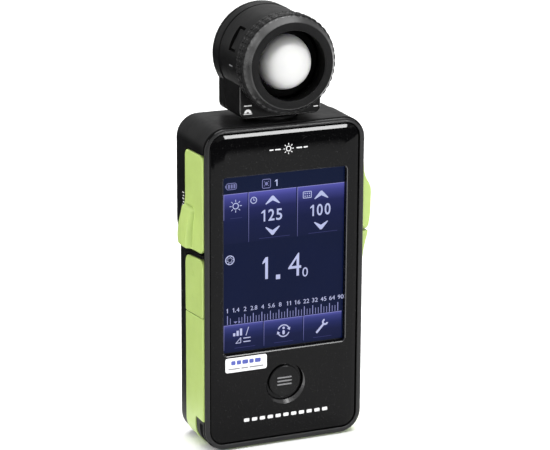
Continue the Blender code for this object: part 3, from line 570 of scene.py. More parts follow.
def u_band(name, top_left, top_right, y0, y1, in0, in1, swell=None, slope_left=0.0, plain=False, n=16, r=CORNER_R, mat=None):
    ym = (y0 + y1) / 2
    bm = bmesh.new()
    rings = []
    e = 0.45
    if plain:
        corners = [(in1, y0), (in0, y0), (in0, y1), (in1, y1)]
    else:
        rim = [(in0 + e * (1 - math.sin(math.radians(a))), e * (1 - math.cos(math.radians(a)))) for a in (0, 22.5, 45, 67.5, 90)]
        corners = [(in1, y0)] + [(i, y0 + d) for i, d in rim] + [(i, y1 - d) for i, d in reversed(rim)] + [(in1, y1)]

    def section(point, normal, lift, tilt, drop=0.0):
        (px, pz), (nx, nz) = point, normal
        ring = []
        for inset, y in corners:
            k = lift if inset < in1 else 0.0
            d = drop if inset < in1 else 0.0
            ring.append((px + nx * (k - inset - d), y, pz + nz * (k - inset - d) + tilt * (y - ym)))
        return ring

    q = 0.22
    ends = [(0.0, q), (q * 0.08, q * 0.62), (q * 0.29, q * 0.29), (q * 0.62, q * 0.08), (q, 0.0)] if not plain else [(0.0, 0.0)]
    for d, drop in ends:
        rings.append(section((-BODY_HALF, top_left - d), (-1, 0), 0.0, slope_left, drop))
    for k in range(1, 7):
        z = top_left - q - (top_left - q - 20.0) * k / 6
        rings.append(section((-BODY_HALF, z), (-1, 0), 0.0, slope_left * (1.0 - k / 6)))
    for i in range(n + 1):
        a = math.radians(180 + 90.0 * i / n)
        rings.append(section((-BODY_HALF + r + r * math.cos(a), r + r * math.sin(a)), (math.cos(a), math.sin(a)), 0.0, 0.0))
    for i in range(n + 1):
        a = math.radians(270 + 90.0 * i / n)
        rings.append(section((BODY_HALF - r + r * math.cos(a), r + r * math.sin(a)), (math.cos(a), math.sin(a)), 0.0, 0.0))
    zs = [18.0, 35.0, 52.0] + [55.0 + (top_right - q - 55.0) * k / 16 for k in range(17)]
    for z in zs:
        rings.append(section((BODY_HALF, z), (1, 0), swell(z) if swell else 0.0, 0.0))
    for d, drop in list(reversed(ends))[1:]:
        z = top_right - d
        rings.append(section((BODY_HALF, z), (1, 0), swell(z) if swell else 0.0, 0.0, drop))
    skin(bm, rings)
    return to_object(name, bm, mat)


def corner_block(name, z_top, x_in, y0, y1, grow, mat=None, n=14):
    rr = CORNER_R - 0.25 + grow
    pts = [(-BODY_HALF + 0.25 - grow, z_top + grow)]
    for i in range(n + 1):
        a = math.radians(180 + 90.0 * i / n)
        pts.append((-BODY_HALF + CORNER_R + rr * math.cos(a), CORNER_R + rr * math.sin(a)))
    pts.append((x_in + grow, 0.25 - grow))
    pts.append((x_in + grow, z_top + grow))
    return loft(name, [(pts, y0 - grow), (pts, y1 + grow)], mat)


# ---------------------------------------------------------------- flat graphics in the XZ plane
class Print:
    """Collects thin raised shapes that face -Y (or +Y) and makes one object of them."""

    def __init__(self, y, depth=0.04, back=False):
        self.bm = bmesh.new()
        self.y0, self.y1 = (y, y + depth) if not back else (y, y - depth)

    def poly(self, pts):
        a = [self.bm.verts.new((x, self.y0, z)) for x, z in pts]
        b = [self.bm.verts.new((x, self.y1, z)) for x, z in pts]
        n = len(pts)
        self.bm.faces.new(a)
        self.bm.faces.new(list(reversed(b)))
        for i in range(n):
            j = (i + 1) % n
            self.bm.faces.new((a[i], b[i], b[j], a[j]))

    def rect(self, x0, x1, z0, z1):
        self.poly([(x0, z0), (x1, z0), (x1, z1), (x0, z1)])

    def pill(self, x0, x1, z0, z1, r=None, n=5):
        r = min(x1 - x0, z1 - z0) / 2 if r is None else r
        self.poly(rounded(x0, x1, z0, z1, r, n))

    def line(self, x0, z0, x1, z1, w):
        d = Vector((x1 - x0, z1 - z0)).normalized()
        p = Vector((-d.y, d.x)) * (w / 2)
        self.poly([(x0 - p.x, z0 - p.y), (x1 - p.x, z1 - p.y), (x1 + p.x, z1 + p.y), (x0 + p.x, z0 + p.y)])

    def disc(self, cx, cz, r, n=20):
        self.poly([(cx + r * math.cos(2 * math.pi * i / n), cz + r * math.sin(2 * math.pi * i / n)) for i in range(n)])

    def band(self, cx, cz, r0, r1, a0=0.0, a1=360.0, n=28):
        full = abs(a1 - a0) >= 359.9
        m = n if full else n + 1
        rings = []
        for i in range(m):
            a = math.radians(a0 + (a1 - a0) * i / n)
            c, s = math.cos(a), math.sin(a)
            rings.append([self.bm.verts.new((cx + r * c, y, cz + r * s)) for r, y in ((r0, self.y0), (r1, self.y0), (r1, self.y1), (r0, self.y1))])
        for i in range(n):
            a, b = rings[i], rings[(i + 1) % m]
            for k in range(4):
                self.bm.faces.new((a[k], a[(k + 1) % 4], b[(k + 1) % 4], b[k]))
        if not full:
            self.bm.faces.new(list(reversed(rings[0])))
            self.bm.faces.new(rings[-1])

    def frame(self, x0, x1, z0, z1, w, r=0.4, n=4):
        out = rounded(x0, x1, z0, z1, r, n)
        inn = rounded(x0 + w, x1 - w, z0 + w, z1 - w, max(r - w, 0.05), n)
        rings = []
        for (ox, oz), (ix, iz) in zip(out, inn):
            rings.append([self.bm.verts.new(p) for p in ((ix, self.y0, iz), (ox, self.y0, oz), (ox, self.y1, oz), (ix, self.y1, iz))])
        for i in range(len(rings)):
            a, b = rings[i], rings[(i + 1) % len(rings)]
            for k in range(4):
                self.bm.faces.new((a[k], a[(k + 1) % 4], b[(k + 1) % 4], b[k]))

    def digits(self, text, x0, x1, z0, z1, bold=0.0, mirror=False):
        """Numerals fitted to a box."""
        cu = bpy.data.curves.new("n", "FONT")
        cu.body = text
        cu.size = 1.0
        cu.extrude = 0.5
        cu.offset = bold
        cu.resolution_u = 5
        ob = bpy.data.objects.new("n", cu)
        bpy.context.scene.collection.objects.link(ob)
        dg = bpy.context.evaluated_depsgraph_get()
        dg.update()
        me = bpy.data.meshes.new_from_object(ob.evaluated_get(dg))
        bpy.data.objects.remove(ob, do_unlink=True)
        bpy.data.curves.remove(cu)
        tmp = bmesh.new()
        tmp.from_mesh(me)
        bmesh.ops.remove_doubles(tmp, verts=tmp.verts, dist=1e-5)
        xs = [v.co.x for v in tmp.verts]
        ys = [v.co.y for v in tmp.verts]
        ax, bx, ay, by = min(xs), max(xs), min(ys), max(ys)
        for v in tmp.verts:
            u = (v.co.x - ax) / (bx - ax)
            if mirror:
                u = 1 - u
            w = (v.co.y - ay) / (by - ay)
            y = self.y0 if v.co.z > 0 else self.y1
            v.co = Vector((x0 + (x1 - x0) * u, y, z0 + (z1 - z0) * w))
        tmp.to_mesh(me)
        tmp.free()
        self.bm.from_mesh(me)
        bpy.data.meshes.remove(me)

    def one(self, x0, x1, z0, z1, w):
        """A numeral one: stem at the right with a flag at the top left."""
        h = z1 - z0
        self.poly([(x1 - w, z0), (x1, z0), (x1, z1), (x1 - w * 0.85, z1), (x0 + w * 0.25, z1 - h * 0.17), (x0, z1 - h * 0.27), (x0 + w * 0.1, z1 - h * 0.30), (x1 - w, z1 - h * 0.22)])

    def make(self, name, mat, body):
        ob = to_object(name, self.bm, mat)
        return piece(ob, body, smooth=30, weighted=False, clean=False)


# ================================================================ front frame
BEZEL_IN = 0.40


def bezel_loops():
    loops = [(outline(BEZEL_IN + 0.12), FRAME_SEAM_Y), (outline(BEZEL_IN), FRAME_SEAM_Y - 0.10), (outline(BEZEL_IN), -12.35)]
    for k in range(1, 8):
        a = math.radians(90.0 * k / 7)
        loops.append((outline(BEZEL_IN + 1.05 * (1 - math.cos(a))), -12.35 - 0.65 * math.sin(a)))
    r = [(25.72, 1.88, 104.37, 5.27), (25.5, 2.1, 104.15, 5.05), (25.4, 2.2, 104.05, 4.95)]
    for (hx, z0, z1, rr), y in zip(r, (-13.0, -12.96, -12.82)):
        loops.append((rounded(-hx, hx, z0, z1, rr, 14), y))
    loops += [(rounded(-25.4, 25.4, 2.2, 104.05, 4.95, 14), -11.4), (rounded(-23.4, 23.4, 4.15, 102.1, 3.0, 14), -11.4),
              (rounded(-23.4, 23.4, 4.15, 102.1, 3.0, 14), -10.4), (rounded(-25.95, 25.95, 1.55, 104.5, 6.0, 14), -10.4),
              (rounded(-25.95, 25.95, 1.55, 104.5, 6.0, 14), FRAME_SEAM_Y)]
    return loops


bezel = loft("bezel", bezel_loops(), M_BEZEL, closed_u=True)
# Painted shade: the inner walls of the groove between the frame and the panel take the flat black, darker than the
# frame itself.
bezel.data.materials.append(M_BAFFLE_RECESS_SHADE)
for f in bezel.data.polygons:
    cx, cy, cz = f.center / MM
    if cy > -12.80 and abs(cx) < 25.6 and 2.0 < cz < 104.3 and not (cy < -12.1 and abs(f.normal.y) > 0.9 and cy > -12.3):
        f.material_index = 1
carve(bezel, corner_block("c", 10.2, -19.0, EY0, -8.0, 0.3))
piece(bezel, "casing", ["front_frame"])

# ================================================================ glossy panel
P0 = (-25.05, 25.05, 2.55, 103.7)
CROWN = 5.0


def panel_outline(inset):
    return rounded(P0[0] + inset, P0[1] - inset, P0[2] + inset, P0[3] - inset, 4.45 - inset * 0.55, 14)


def sag(d):
    """Depth below the face: a flat land near the rim, then a gentle fall that ends at a soft crease."""
    slopes = [(0.0, 1.1), (0.08, 0.62), (0.22, 0.196), (1.22, 0.190), (1.42, 0.085), (3.2, 0.062), (4.55, 0.046), (4.75, 0.0), (5.0, 0.0)]
    steps = 60
    h = (CROWN - d) / steps
    return sum(ramp(d + (i + 0.5) * h, slopes) * h for i in range(steps)) if d < CROWN else 0.0


loops = [(panel_outline(0.0), -11.7)]
for d in (0.0, 0.04, 0.08, 0.14, 0.20, 0.45, 0.7, 0.95, 1.15, 1.22, 1.28, 1.35, 1.42, 2.3, 2.8, 3.3, 3.8, 4.2, 4.55, 4.65, 4.75, 5.0):
    loops.append((panel_outline(d), FRONT_Y + sag(d)))
panel = loft("glossy_panel", loops, M_GLOSS)
wx0, wx1, wz0, wz1 = WINDOW
win = []
for g, y in ((0.0, -10.8), (0.0, -12.76), (1.0, -13.76)):
    win.append((rounded(wx0 - g, wx1 + g, wz0 - g, wz1 + g, 1.3 + g, 8), y))
carve(panel, loft("c", win, M_RIM))
# The cut wall of the menu key's well takes the flat black: painted shade in the well.
carve(panel, lathe("c", [(0, -10.9), (6.35, -10.9), (6.35, -13.4), (0, -13.4)], (MENU_X + 0.05, 0, MENU_Z - 0.10), n=96, mat=M_BAFFLE_RECESS_SHADE))
carve(panel, lathe("c", [(0, -11.9), (5.60, -11.9), (7.0, -13.3), (0, -13.3)], (MENU_X + 0.15, 0, MENU_Z - 0.78), n=96, mat=M_RIM))
piece(panel, "casing", ["front_panel"], smooth=14)

# ================================================================ display
cover = loft("display_cover", [(rounded(-23.0, 23.0, 29.2, 92.4, 1.0, 4), -10.7), (rounded(-23.0, 23.0, 29.2, 92.4, 1.0, 4), -11.33),
                               (rounded(-22.97, 22.97, 29.23, 92.37, 1.0, 4), -11.35)], M_GLASS)
piece(cover, "casing", ["touch_panel"])

LX0, LX1, LZ0, LZ1 = -20.2, 20.87, 32.4, 89.5
p = Print(-11.362, 0.02)
p.poly(rounded(LX0, LX1, LZ0, LZ1, 0.25, 3))
p.make("display_field", M_LCD, "casing")

TILES = [(LX0 + 0.02, -12.15), (-11.85, 4.35), (4.72, LX1 - 0.03)]
p = Print(-11.372, 0.02)
for a, b in TILES:
    p.rect(a, b, 68.2, 84.25)
p.make("display_tiles_upper", M_TILE_UP, "casing")
LOW = [(LX0 + 0.02, -6.85), (-6.55, 6.85), (7.15, LX1 - 0.4)]
p = Print(-11.372, 0.02)
for a, b in LOW:
    p.rect(a, b, 32.75, 41.5)
p.make("display_tiles_lower", M_TILE_LOW, "casing")

p = Print(-11.382, 0.02)
for a, b in TILES:
    p.rect(a, b, 84.13, 84.3)
    p.rect(a, a + 0.17, 68.2 if a > -19 else 76.0, 84.13)
p.make("display_lines_upper", M_LINE, "casing")
p = Print(-11.382, 0.02)
for a, b in LOW:
    p.rect(a, b, 41.38, 41.55)
    p.rect(a, a + 0.17, 33.2, 41.38)
p.make("display_lines_lower", M_LINE2, "casing")
p = Print(-11.382, 0.02)
for a, b, z in ((-18.0, -14.0, 76.4), (-8.2, 2.2, 68.9), (8.6, 18.6, 68.7), (-16.5, -9.5, 33.7), (-3.0, 3.6, 33.7), (10.6, 17.0, 33.7)):
    p.rect(a, b, z - 0.09, z + 0.09)
p.make("display_faint_lines", M_FAINT, "casing")

p = Print(-11.392, 0.02)
# battery symbol
p.frame(-19.35, -15.75, 85.65, 87.85, 0.22, 0.7)
for k in range(3):
    p.rect(-18.75 + 0.93 * k, -18.10 + 0.93 * k, 86.1, 87.4)
p.rect(-19.62, -19.35, 86.35, 87.15)
# meter mode symbol and memory number
p.frame(-7.3, -4.35, 84.95, 88.0, 0.24, 0.5)
p.disc(-5.82, 86.47, 0.55)
for k in range(4):
    a = math.radians(45 + 90 * k)
    p.disc(-5.82 + 0.95 * math.cos(a), 86.47 + 0.95 * math.sin(a), 0.17, 10)
p.make("display_symbols_dim", M_DIM, "casing")
p = Print(-11.392, 0.02)
p.one(-3.0, -2.1, 85.4, 87.5, 0.34)
# sun symbol
sx, sz = -16.15, 80.3
p.band(sx, sz, 0.78, 1.06)
for k in range(8):
    a = math.radians(45 * k)
    p.line(sx + 1.35 * math.cos(a), sz + 1.35 * math.sin(a), sx + 2.05 * math.cos(a), sz + 2.05 * math.sin(a), 0.22)
# clock symbol for the time tile
p.band(-10.1, 81.55, 0.86, 1.12)
p.line(-10.1, 81.50, -10.1, 82.2, 0.2)
p.line(-10.17, 81.55, -9.6, 81.55, 0.2)
# grain symbol for the sensitivity tile
p.frame(6.6, 9.6, 80.35, 82.6, 0.22, 0.3)
for i in range(3):
    for j in range(2):
        p.disc(7.35 + 0.75 * i, 81.05 + 0.82 * j, 0.21, 10)


def chevron(cx, cz, w, h, t, up=1):
    p.poly([(cx - w / 2, cz - up * h / 2), (cx - w / 2 + 0.28, cz - up * (h / 2 + 0.16)), (cx, cz + up * (h / 2 - t)),
            (cx + w / 2 - 0.28, cz - up * (h / 2 + 0.16)), (cx + w / 2, cz - up * h / 2), (cx + 0.32, cz + up * (h / 2 - 0.05)), (cx, cz + up * h / 2),
            (cx - 0.32, cz + up * (h / 2 - 0.05))])


chevron(-3.68, 81.15, 4.95, 2.5, 1.5, 1)
chevron(12.95, 81.1, 4.85, 2.4, 1.5, 1)
chevron(-3.68, 70.95, 4.95, 2.6, 1.5, -1)
chevron(12.92, 70.85, 4.85, 2.5, 1.5, -1)
p.one(-7.55, -6.2, 74.3, 78.05, 0.52)
p.digits("2", -5.15, -3.05, 74.35, 78.1, 0.012)
p.digits("5", -2.5, -0.45, 74.3, 78.0, 0.012)
p.one(9.1, 10.45, 74.25, 77.95, 0.52)
p.digits("0", 11.45, 13.45, 74.25, 78.0, 0.012)
p.digits("0", 14.15, 16.15, 74.25, 78.0, 0.012)
# aperture symbol
ax, az = -18.1, 62.95
p.band(ax, az, 1.28, 1.56, n=32)
for k in range(6):
    a0 = math.radians(60 * k)
    a1 = math.radians(60 * k + 62)
    p.line(ax + 1.34 * math.cos(a0), az + 1.34 * math.sin(a0), ax + 0.66 * math.cos(a1), az + 0.66 * math.sin(a1), 0.16)
# reading
p.one(-7.1, -5.2, 55.35, 62.55, 0.92)
p.rect(-2.45, -1.0, 54.85, 56.35)
p.digits("4", 1.75, 6.2, 55.2, 62.75, -0.006)
p.digits("0", 6.65, 8.55, 54.6, 57.65)
# lower tiles: bar chart and delta, recall loop, spanner
for k, h in enumerate((1.0, 1.7, 2.3)):
    p.rect(-17.0 + 1.15 * k, -16.25 + 1.15 * k, 37.7, 37.7 + h)
p.line(-12.65, 37.5, -11.7, 40.25, 0.24)
for q in ((-16.1, 35.2, -14.4, 37.0), (-14.4, 37.0, -14.4, 35.2), (-14.5, 35.28, -16.15, 35.28)):
    p.line(*q, 0.2)
p.rect(-13.5, -11.1, 36.55, 36.85)
p.rect(-13.5, -11.1, 35.35, 35.65)
cx, cz = 0.3, 37.4
p.band(cx, cz, 1.75, 2.12, 25, 160, 18)
p.band(cx, cz, 1.75, 2.12, 205, 340, 18)
for a in (25, 205):
    c, s = math.cos(math.radians(a)), math.sin(math.radians(a))
    px, pz = cx + 1.93 * c, cz + 1.93 * s
    p.poly([(px - 0.62 * c, pz - 0.62 * s), (px + s * 0.95, pz - c * 0.95), (px + 0.62 * c, pz + 0.62 * s)])
p.disc(cx, cz + 0.95, 0.42, 14)
p.pill(cx - 0.42, cx + 0.42, cz - 1.25, cz + 0.2)
wx, wz = 14.75, 38.55
p.band(wx, wz, 0.50, 1.08, 105, 345, 20)
p.line(wx - 0.62, wz - 0.75, wx - 2.85, wz - 3.15, 0.70)
p.disc(wx - 2.85, wz - 3.15, 0.35, 12)
# scale numbers
labels = ["1", "1.4", "2", "2.8", "4", "5.6", "8", "11", "16", "22", "32", "45", "64", "90"]
STEP = (20.1 + 18.95) / 13
for k, s in enumerate(labels):
    cxk = -18.95 + STEP * k
    z0, z1 = 45.65, 47.05
    if s == "1":
        p.one(cxk - 0.28, cxk + 0.16, z0, z1, 0.24)
    elif s == "1.4":
        p.one(cxk - 1.2, cxk - 0.72, z0, z1, 0.24)
        p.rect(cxk - 0.40, cxk - 0.14, z0, z0 + 0.26)
        p.digits("4", cxk + 0.12, cxk + 1.05, z0, z1, 0.0)
    elif s == "11":
        p.one(cxk - 0.78, cxk - 0.30, z0, z1, 0.24)
        p.one(cxk + 0.22, cxk + 0.70, z0, z1, 0.24)
    elif s == "16":
        p.one(cxk - 0.98, cxk - 0.50, z0, z1, 0.24)
        p.digits("6", cxk - 0.02, cxk + 0.92, z0, z1, 0.0)
    else:
        wide = {1: 0.92, 2: 2.0, 3: 2.3}[len(s)]
        p.digits(s, cxk - wide / 2, cxk + wide / 2, z0, z1, 0.0)
p.make("display_symbols", M_TEXT, "casing")

p = Print(-11.392, 0.02)
T0, T1 = -18.92, 19.14
for k in range(40):
    x = T0 + (T1 - T0) * k / 39
    long = k % 3 == 0
    if k in (2, 3):
        continue
    p.rect(x - (0.13 if long else 0.09), x + (0.13 if long else 0.09), 41.75, 44.65 if long else 43.75)
p.poly([(-16.85, 42.55), (-16.2, 41.9), (-15.55, 42.55)])
p.rect(-15.2, -14.6, 42.0, 42.5)
p.make("display_scale", M_TICK, "casing")

# ================================================================ menu key
prof = [(0, -12.28), (1.2, -12.285), (2.4, -12.31), (3.4, -12.36), (4.2, -12.44), (4.7, -12.52)]
prof += [(4.95, -12.55), (5.15, -12.50), (5.27, -12.38), (5.3, -12.2), (5.3, -11.4), (6.7, -11.4), (6.7, -10.8), (1.6, -10.8), (1.6, -8.7), (0, -8.7)]
key = lathe("menu_key", prof, (MENU_X, 0, MENU_Z), n=96, mat=M_BUTTON)
piece(key, "menu_button", ["menu_button"], smooth=34)
p = Print(-12.375, 0.07)
for k in (-1, 0, 1):
    p.pill(MENU_X - 2.5, MENU_X + 2.5, MENU_Z + 1.15 * k - 0.24, MENU_Z + 1.15 * k + 0.24)
p.make("menu_key_symbol", M_PRINT_GREY, "menu_button")

# ================================================================ printing on the panel
p = Print(FRONT_Y - 0.022, 0.05)
cx, cz = 0.9, 97.5
p.band(cx, cz, 0.62, 0.92)
for k in range(8):
    a = math.radians(45 * k)
    p.line(cx + 1.22 * math.cos(a), cz + 1.22 * math.sin(a), cx + 1.75 * math.cos(a), cz + 1.75 * math.sin(a), 0.26)
for s in (-1, 1):
    for k, w in enumerate((2.0, 1.4)):
        x = cx + s * (2.6 + 2.45 * k)
        p.pill(min(x, x + s * w), max(x, x + s * w), cz - 0.2, cz + 0.2)
p.make("panel_print_top", M_PRINT, "casing")
p = Print(FRONT_Y - 0.022, 0.05)
for k in range(11):
    x = 0.6 + 2.72 * (k - 5)
    p.pill(x - 0.92, x + 0.92, 9.0, 10.15, 0.3)
p.make("panel_print_bottom", M_PRINT, "casing")

label = loft("front_label_film", [(rounded(-20.3, -6.2, 26.3, 31.1, 0.7, 8), -13.03), (rounded(-20.3, -6.2, 26.3, 31.1, 0.7, 8), -13.14),
                                  (rounded(-20.26, -6.24, 26.34, 31.06, 0.7, 8), -13.17)], M_PAPER)
piece(label, "casing", ["front_label"])
p = Print(-13.185, 0.03)
for a, b in ((-18.4, -16.9), (-16.5, -15.0), (-14.6, -12.6), (-12.2, -10.7), (-10.3, -8.3)):
    p.pill(a, b, 28.75, 30.15, 0.35)
p.make("front_label_bars", M_LABEL_BLUE, "casing")
p = Print(-13.185, 0.03)
for a, b in ((-19.4, -15.4), (-15.0, -12.6), (-12.2, -7.3)):
    p.pill(a, b, 27.2, 27.7, 0.24)
p.make("front_label_lines", M_LABEL_GREY, "casing")

# ================================================================ middle housing
housing = loft("middle_housing", [
    (outline(0.14), -11.9), (outline(0.0), -11.76), (outline(0.0), 3.11), (outline(0.14), 3.25),
    (rounded(-24.85, 24.85, 2.6, 103.4, 5.0, 14), 3.25), (rounded(-24.85, 24.85, 2.6, 103.4, 5.0, 14), -10.1),
    (rounded(-26.25, 26.25, 1.25, 104.8, 6.0, 14), -10.1), (rounded(-26.25, 26.25, 1.25, 104.8, 6.0, 14), -11.9)], M_CASE, closed_u=True)
cuts = []
for nm, side, z0, z1, sl0, sl1, floor in (
        ("upper_left", -1, 64.9, 97.3, -0.06, -0.05, 25.6),
        ("upper_right", 1, 67.7, 97.3, 0.0, 0.0, 25.6),
        ("flap", -1, 43.0, 63.5, 0.0, -0.12, 25.95)):
    cuts.append(side_skin("cut_" + nm, side, z0, z1, SIDE_Y0 - 1.0, SIDE_Y1 + 1.0, flat, floor, corner=1.0, slope0=sl0, slope1=sl1,
                          columns=2, rows=2, edge=0.0, x_out=31.5, ends=6))
carve(housing, *cuts)
carve(housing, u_band("c", 43.9, 67.75, SIDE_Y0 - 1.0, SIDE_Y1 + 1.0, -3.0, 1.5, plain=True, n=14, r=7.35))
carve(housing, lathe("c", [(0, 105.0), (9.1, 105.0), (9.1, 105.72), (9.25, 105.9), (9.25, 107.0), (0, 107.0)], (0, SWIVEL_Y, 0), "Z", n=80),
      lathe("c", [(0, 101.0), (4.3, 101.0), (4.3, 106.0), (0, 106.0)], (0, SWIVEL_Y, 0), "Z", n=48))
carve(housing, lathe("c", [(0, -27.0), (3.5, -27.0), (3.5, -24.0), (0, -24.0)], (0, -2.9, 57.3), "X", n=48),
      block("c", -27.0, -24.0, -5.6, -1.2, 44.9, 52.9, bevel=0.5, seg=3))
carve(housing, corner_block("c", 10.2, -19.0, -12.6, EY1, 0.3))
piece(housing, "casing", ["mid_housing"], smooth=28)


# ================================================================ green side pieces
def soft_step(v, edge, width):
    return smoothstep((v - edge) / width + 0.5)


def wedge(y, z):
    up = smoothstep((82.0 - z) / 14.0)
    across = ramp(y, [(-11.9, 0.0), (-9.6, 0.10), (-6.8, 0.30), (-4.6, 0.52), (-4.0, 0.86), (-1.0, 1.0), (1.6, 1.0), (3.25, 0.88)])
    h = 2.45 * up * across
    # the thumb pad stands a little proud, with a crisp rim along its top and front
    top = 78.35 - 0.06 * (y - 1.2) - 0.35 * smoothstep((-y - 2.6) / 1.8)
    pad = soft_step(top - z, 0.0, 0.5) * soft_step(y, -4.15 + 0.22 * smoothstep((72.0 - z) / 6.0), 0.45)
    groove = math.exp(-((y + 4.72) / 0.42) ** 2) * soft_step(78.0 - z, 0.0, 1.2) * soft_step(z, 66.8, 1.6)
    notch = math.exp(-((z - top - 0.35) / 0.38) ** 2) * soft_step(y, -4.6, 0.8) * soft_step(1.9 - y, 0.0, 0.8)
    return h + 0.70 * pad * (1.0 - 0.30 * smoothstep((74.0 - z) / 8.0)) - 0.85 * groove - 0.55 * notch


def bulge(y, z):
    up = soft_ramp(z, [(67.9, 2.1), (69.5, 2.7), (73.5, 3.4), (81.0, 3.6), (82.6, 3.2), (84.9, 1.2), (87.0, 0.35), (91.0, 0.0)])
    across = soft_ramp(y, [(-11.9, 0.70), (-9.6, 0.98), (-2.0, 1.0), (1.5, 0.8), (3.25, 0.55)])
    return min(up * across, 3.55)


def swell(z):
    return soft_ramp(z, [(58.5, 0.0), (61.5, 0.45), (64.5, 1.15), (67.6, 1.95)])


measure = side_skin("measuring_key", -1, 66.0, 97.0, SIDE_Y0, SIDE_Y1, wedge, 26.45, corner=2.4, slope0=0.04, slope1=-0.05,
                    columns=72, rows=120, mat=M_GREEN)
piece(measure, "measuring_button", ["measuring_button"], smooth=60, weighted=False)
memory = side_skin("memory_key", 1, 67.95, 97.0, SIDE_Y0, SIDE_Y1, bulge, 26.45, corner=2.0, columns=30, rows=80, mat=M_GREEN)
piece(memory, "memory_button", ["memory_button"], smooth=60, weighted=False)

flap = side_skin("connector_flap", -1, 44.2, 63.1, SIDE_Y0 + 0.15, SIDE_Y1, flat, 26.25, corner=0.5, corner_top=3.0, slope0=-0.09, slope1=-0.12,
                 columns=30, rows=30, edge=0.3, mat=M_GREEN)
piece(flap, "connector_cover", ["connector_cover"], smooth=60, weighted=False)


class SideMarks:
    """Small raised marks on the left wall (facing -X)."""

    def __init__(self, x, depth):
        self.bm, self.x0, self.x1 = bmesh.new(), x, x + depth

    def poly(self, pts):
        a = [self.bm.verts.new((self.x0, y, z)) for y, z in pts]
        b = [self.bm.verts.new((self.x1, y, z)) for y, z in pts]
        self.bm.faces.new(a)
        self.bm.faces.new(list(reversed(b)))
        for i in range(len(pts)):
            j = (i + 1) % len(pts)
            self.bm.faces.new((a[i], b[i], b[j], a[j]))

    def ring(self, cy, cz, r0, r1, n=24):
        rs = []
        for i in range(n):
            a = 2 * math.pi * i / n
            c, s = math.cos(a), math.sin(a)
            rs.append([self.bm.verts.new((x, cy + r * c, cz + r * s)) for r, x in ((r0, self.x0), (r1, self.x0), (r1, self.x1), (r0, self.x1))])
        for i in range(n):
            a, b = rs[i], rs[(i + 1) % n]
            for k in range(4):
                self.bm.faces.new((a[k], a[(k + 1) % 4], b[(k + 1) % 4], b[k]))


marks = SideMarks(-27.50, 0.2)
marks.ring(-3.2, 57.3, 0.75, 1.0)
marks.poly([(-3.2 + 0.32 * math.cos(2 * math.pi * i / 12), 57.3 + 0.32 * math.sin(2 * math.pi * i / 12)) for i in range(12)])
marks.poly([(-4.35, 48.65), (-2.15, 48.65), (-2.15, 49.1), (-4.35, 49.1)])
marks.poly([(-3.65, 49.5), (-2.85, 49.5), (-2.85, 50.6), (-3.65, 50.6)])
piece(to_object("connector_flap_marks", marks.bm, M_GREEN), "connector_cover", weighted=False, clean=False)

marks = SideMarks(-27.19, 0.2)
for z, w in ((77.6, 1.5), (78.6, 1.0), (79.6, 1.5), (80.6, 1.0), (81.6, 1.5)):
    marks.poly([(4.6, z - 0.14), (4.6 + w, z - 0.14), (4.6 + w, z + 0.14), (4.6, z + 0.14)])
piece(to_object("rear_edge_scale", marks.bm, M_PRINT), "casing", weighted=False, clean=False)
grip = u_band("lower_side_grip", 44.02, 67.6, SIDE_Y0, SIDE_Y1, 0.0, 1.2, swell=swell, slope_left=-0.09, mat=M_GREEN)
carve(grip, block("c", -31.0, -18.7, -13.0, EY1 + 0.3, -2.0, 10.5, bevel=0.6, seg=3))
piece(grip, "casing", ["lower_grip"], smooth=40)

eyelet = corner_block("strap_eyelet_insert", 10.2, -19.0, EY0, EY1, 0.0, M_SOFT)
cut = block("c", -11.0, 11.0, -1.3, 1.3, -1.7, 1.7, bevel=0.45, seg=3, turn=Matrix.Rotation(math.radians(45), 3, "Y"))
cut.location = Vector((-24.6, -9.7, 4.3)) * MM
carve(eyelet, loft("c", [(rounded(-25.45, 25.45, 2.15, 104.1, 4.85, 14), -13.5), (rounded(-25.45, 25.45, 2.15, 104.1, 4.85, 14), -11.35)]), cut)
piece(eyelet, "casing", ["strap_eyelet"])


# ================================================================ rear cover
def depth(z):
    return BACK_LOW_Y + (BACK_UP_Y - BACK_LOW_Y) * smoothstep((z - STEP_Z0) / (STEP_Z1 - STEP_Z0))


def cad_depth(z):
    return ramp(z, [(STEP_Z0, BACK_LOW_Y), (STEP_Z1, BACK_UP_Y)])


MARKS = tuple(STEP_Z0 + (STEP_Z1 - STEP_Z0) * k / 12 for k in range(13))


def stepped(bm, base, steps, y_starts, flip):
    rings = [at_y(outline(base + i, 12, MARKS), y) for i, y in y_starts]
    for inset, drop in steps:
        rings.append([(x, depth(z) - drop, z) for x, z in outline(base + inset, 12, MARKS)])
    vr = [[bm.verts.new(Vector(q)) for q in ring] for ring in rings]
    n, m = len(vr[0]), len(MARKS)
    for a, b in zip(vr, vr[1:]):
        for i in range(n):
            j = (i + 1) % n
            bm.faces.new((a[i], a[j], b[j], b[i]))
    last = vr[-1]
    right = [13 + k for k in range(m)]
    left = [n - 13 - 1 - k for k in range(m)]
    bm.faces.new(last[left[0]:] + last[:right[0] + 1])
    for k in range(m - 1):
        bm.faces.new([last[left[k]], last[right[k]], last[right[k + 1]], last[left[k + 1]]])
    bm.faces.new(last[right[-1]:left[-1] + 1])
    return vr[0]


bm = bmesh.new()
edge_round = []
for k in range(0, 9):
    a = math.radians(90.0 * k / 8)
    edge_round.append((1.5 * (1 - math.cos(a)), 1.5 * (1 - math.sin(a))))
o0 = stepped(bm, 0.32, edge_round, [(0.14, REAR_SEAM_Y), (0.0, REAR_SEAM_Y + 0.14)], False)
i0 = stepped(bm, 1.7, [(0.0, 2.6), (0.6, 1.65)], [(0.0, REAR_SEAM_Y)], True)
for i in range(len(o0)):
    j = (i + 1) % len(o0)
    bm.faces.new((o0[i], o0[j], i0[j], i0[i]))
back = to_object("rear_shell", bm, M_REAR)
carve(back, lathe("c", [(0, 105.0), (9.1, 105.0), (9.1, 105.72), (9.25, 105.9), (9.25, 107.0), (0, 107.0)], (0, SWIVEL_Y, 0), "Z", n=80),
      lathe("c", [(0, 101.0), (4.3, 101.0), (4.3, 106.0), (0, 106.0)], (0, SWIVEL_Y, 0), "Z", n=48))
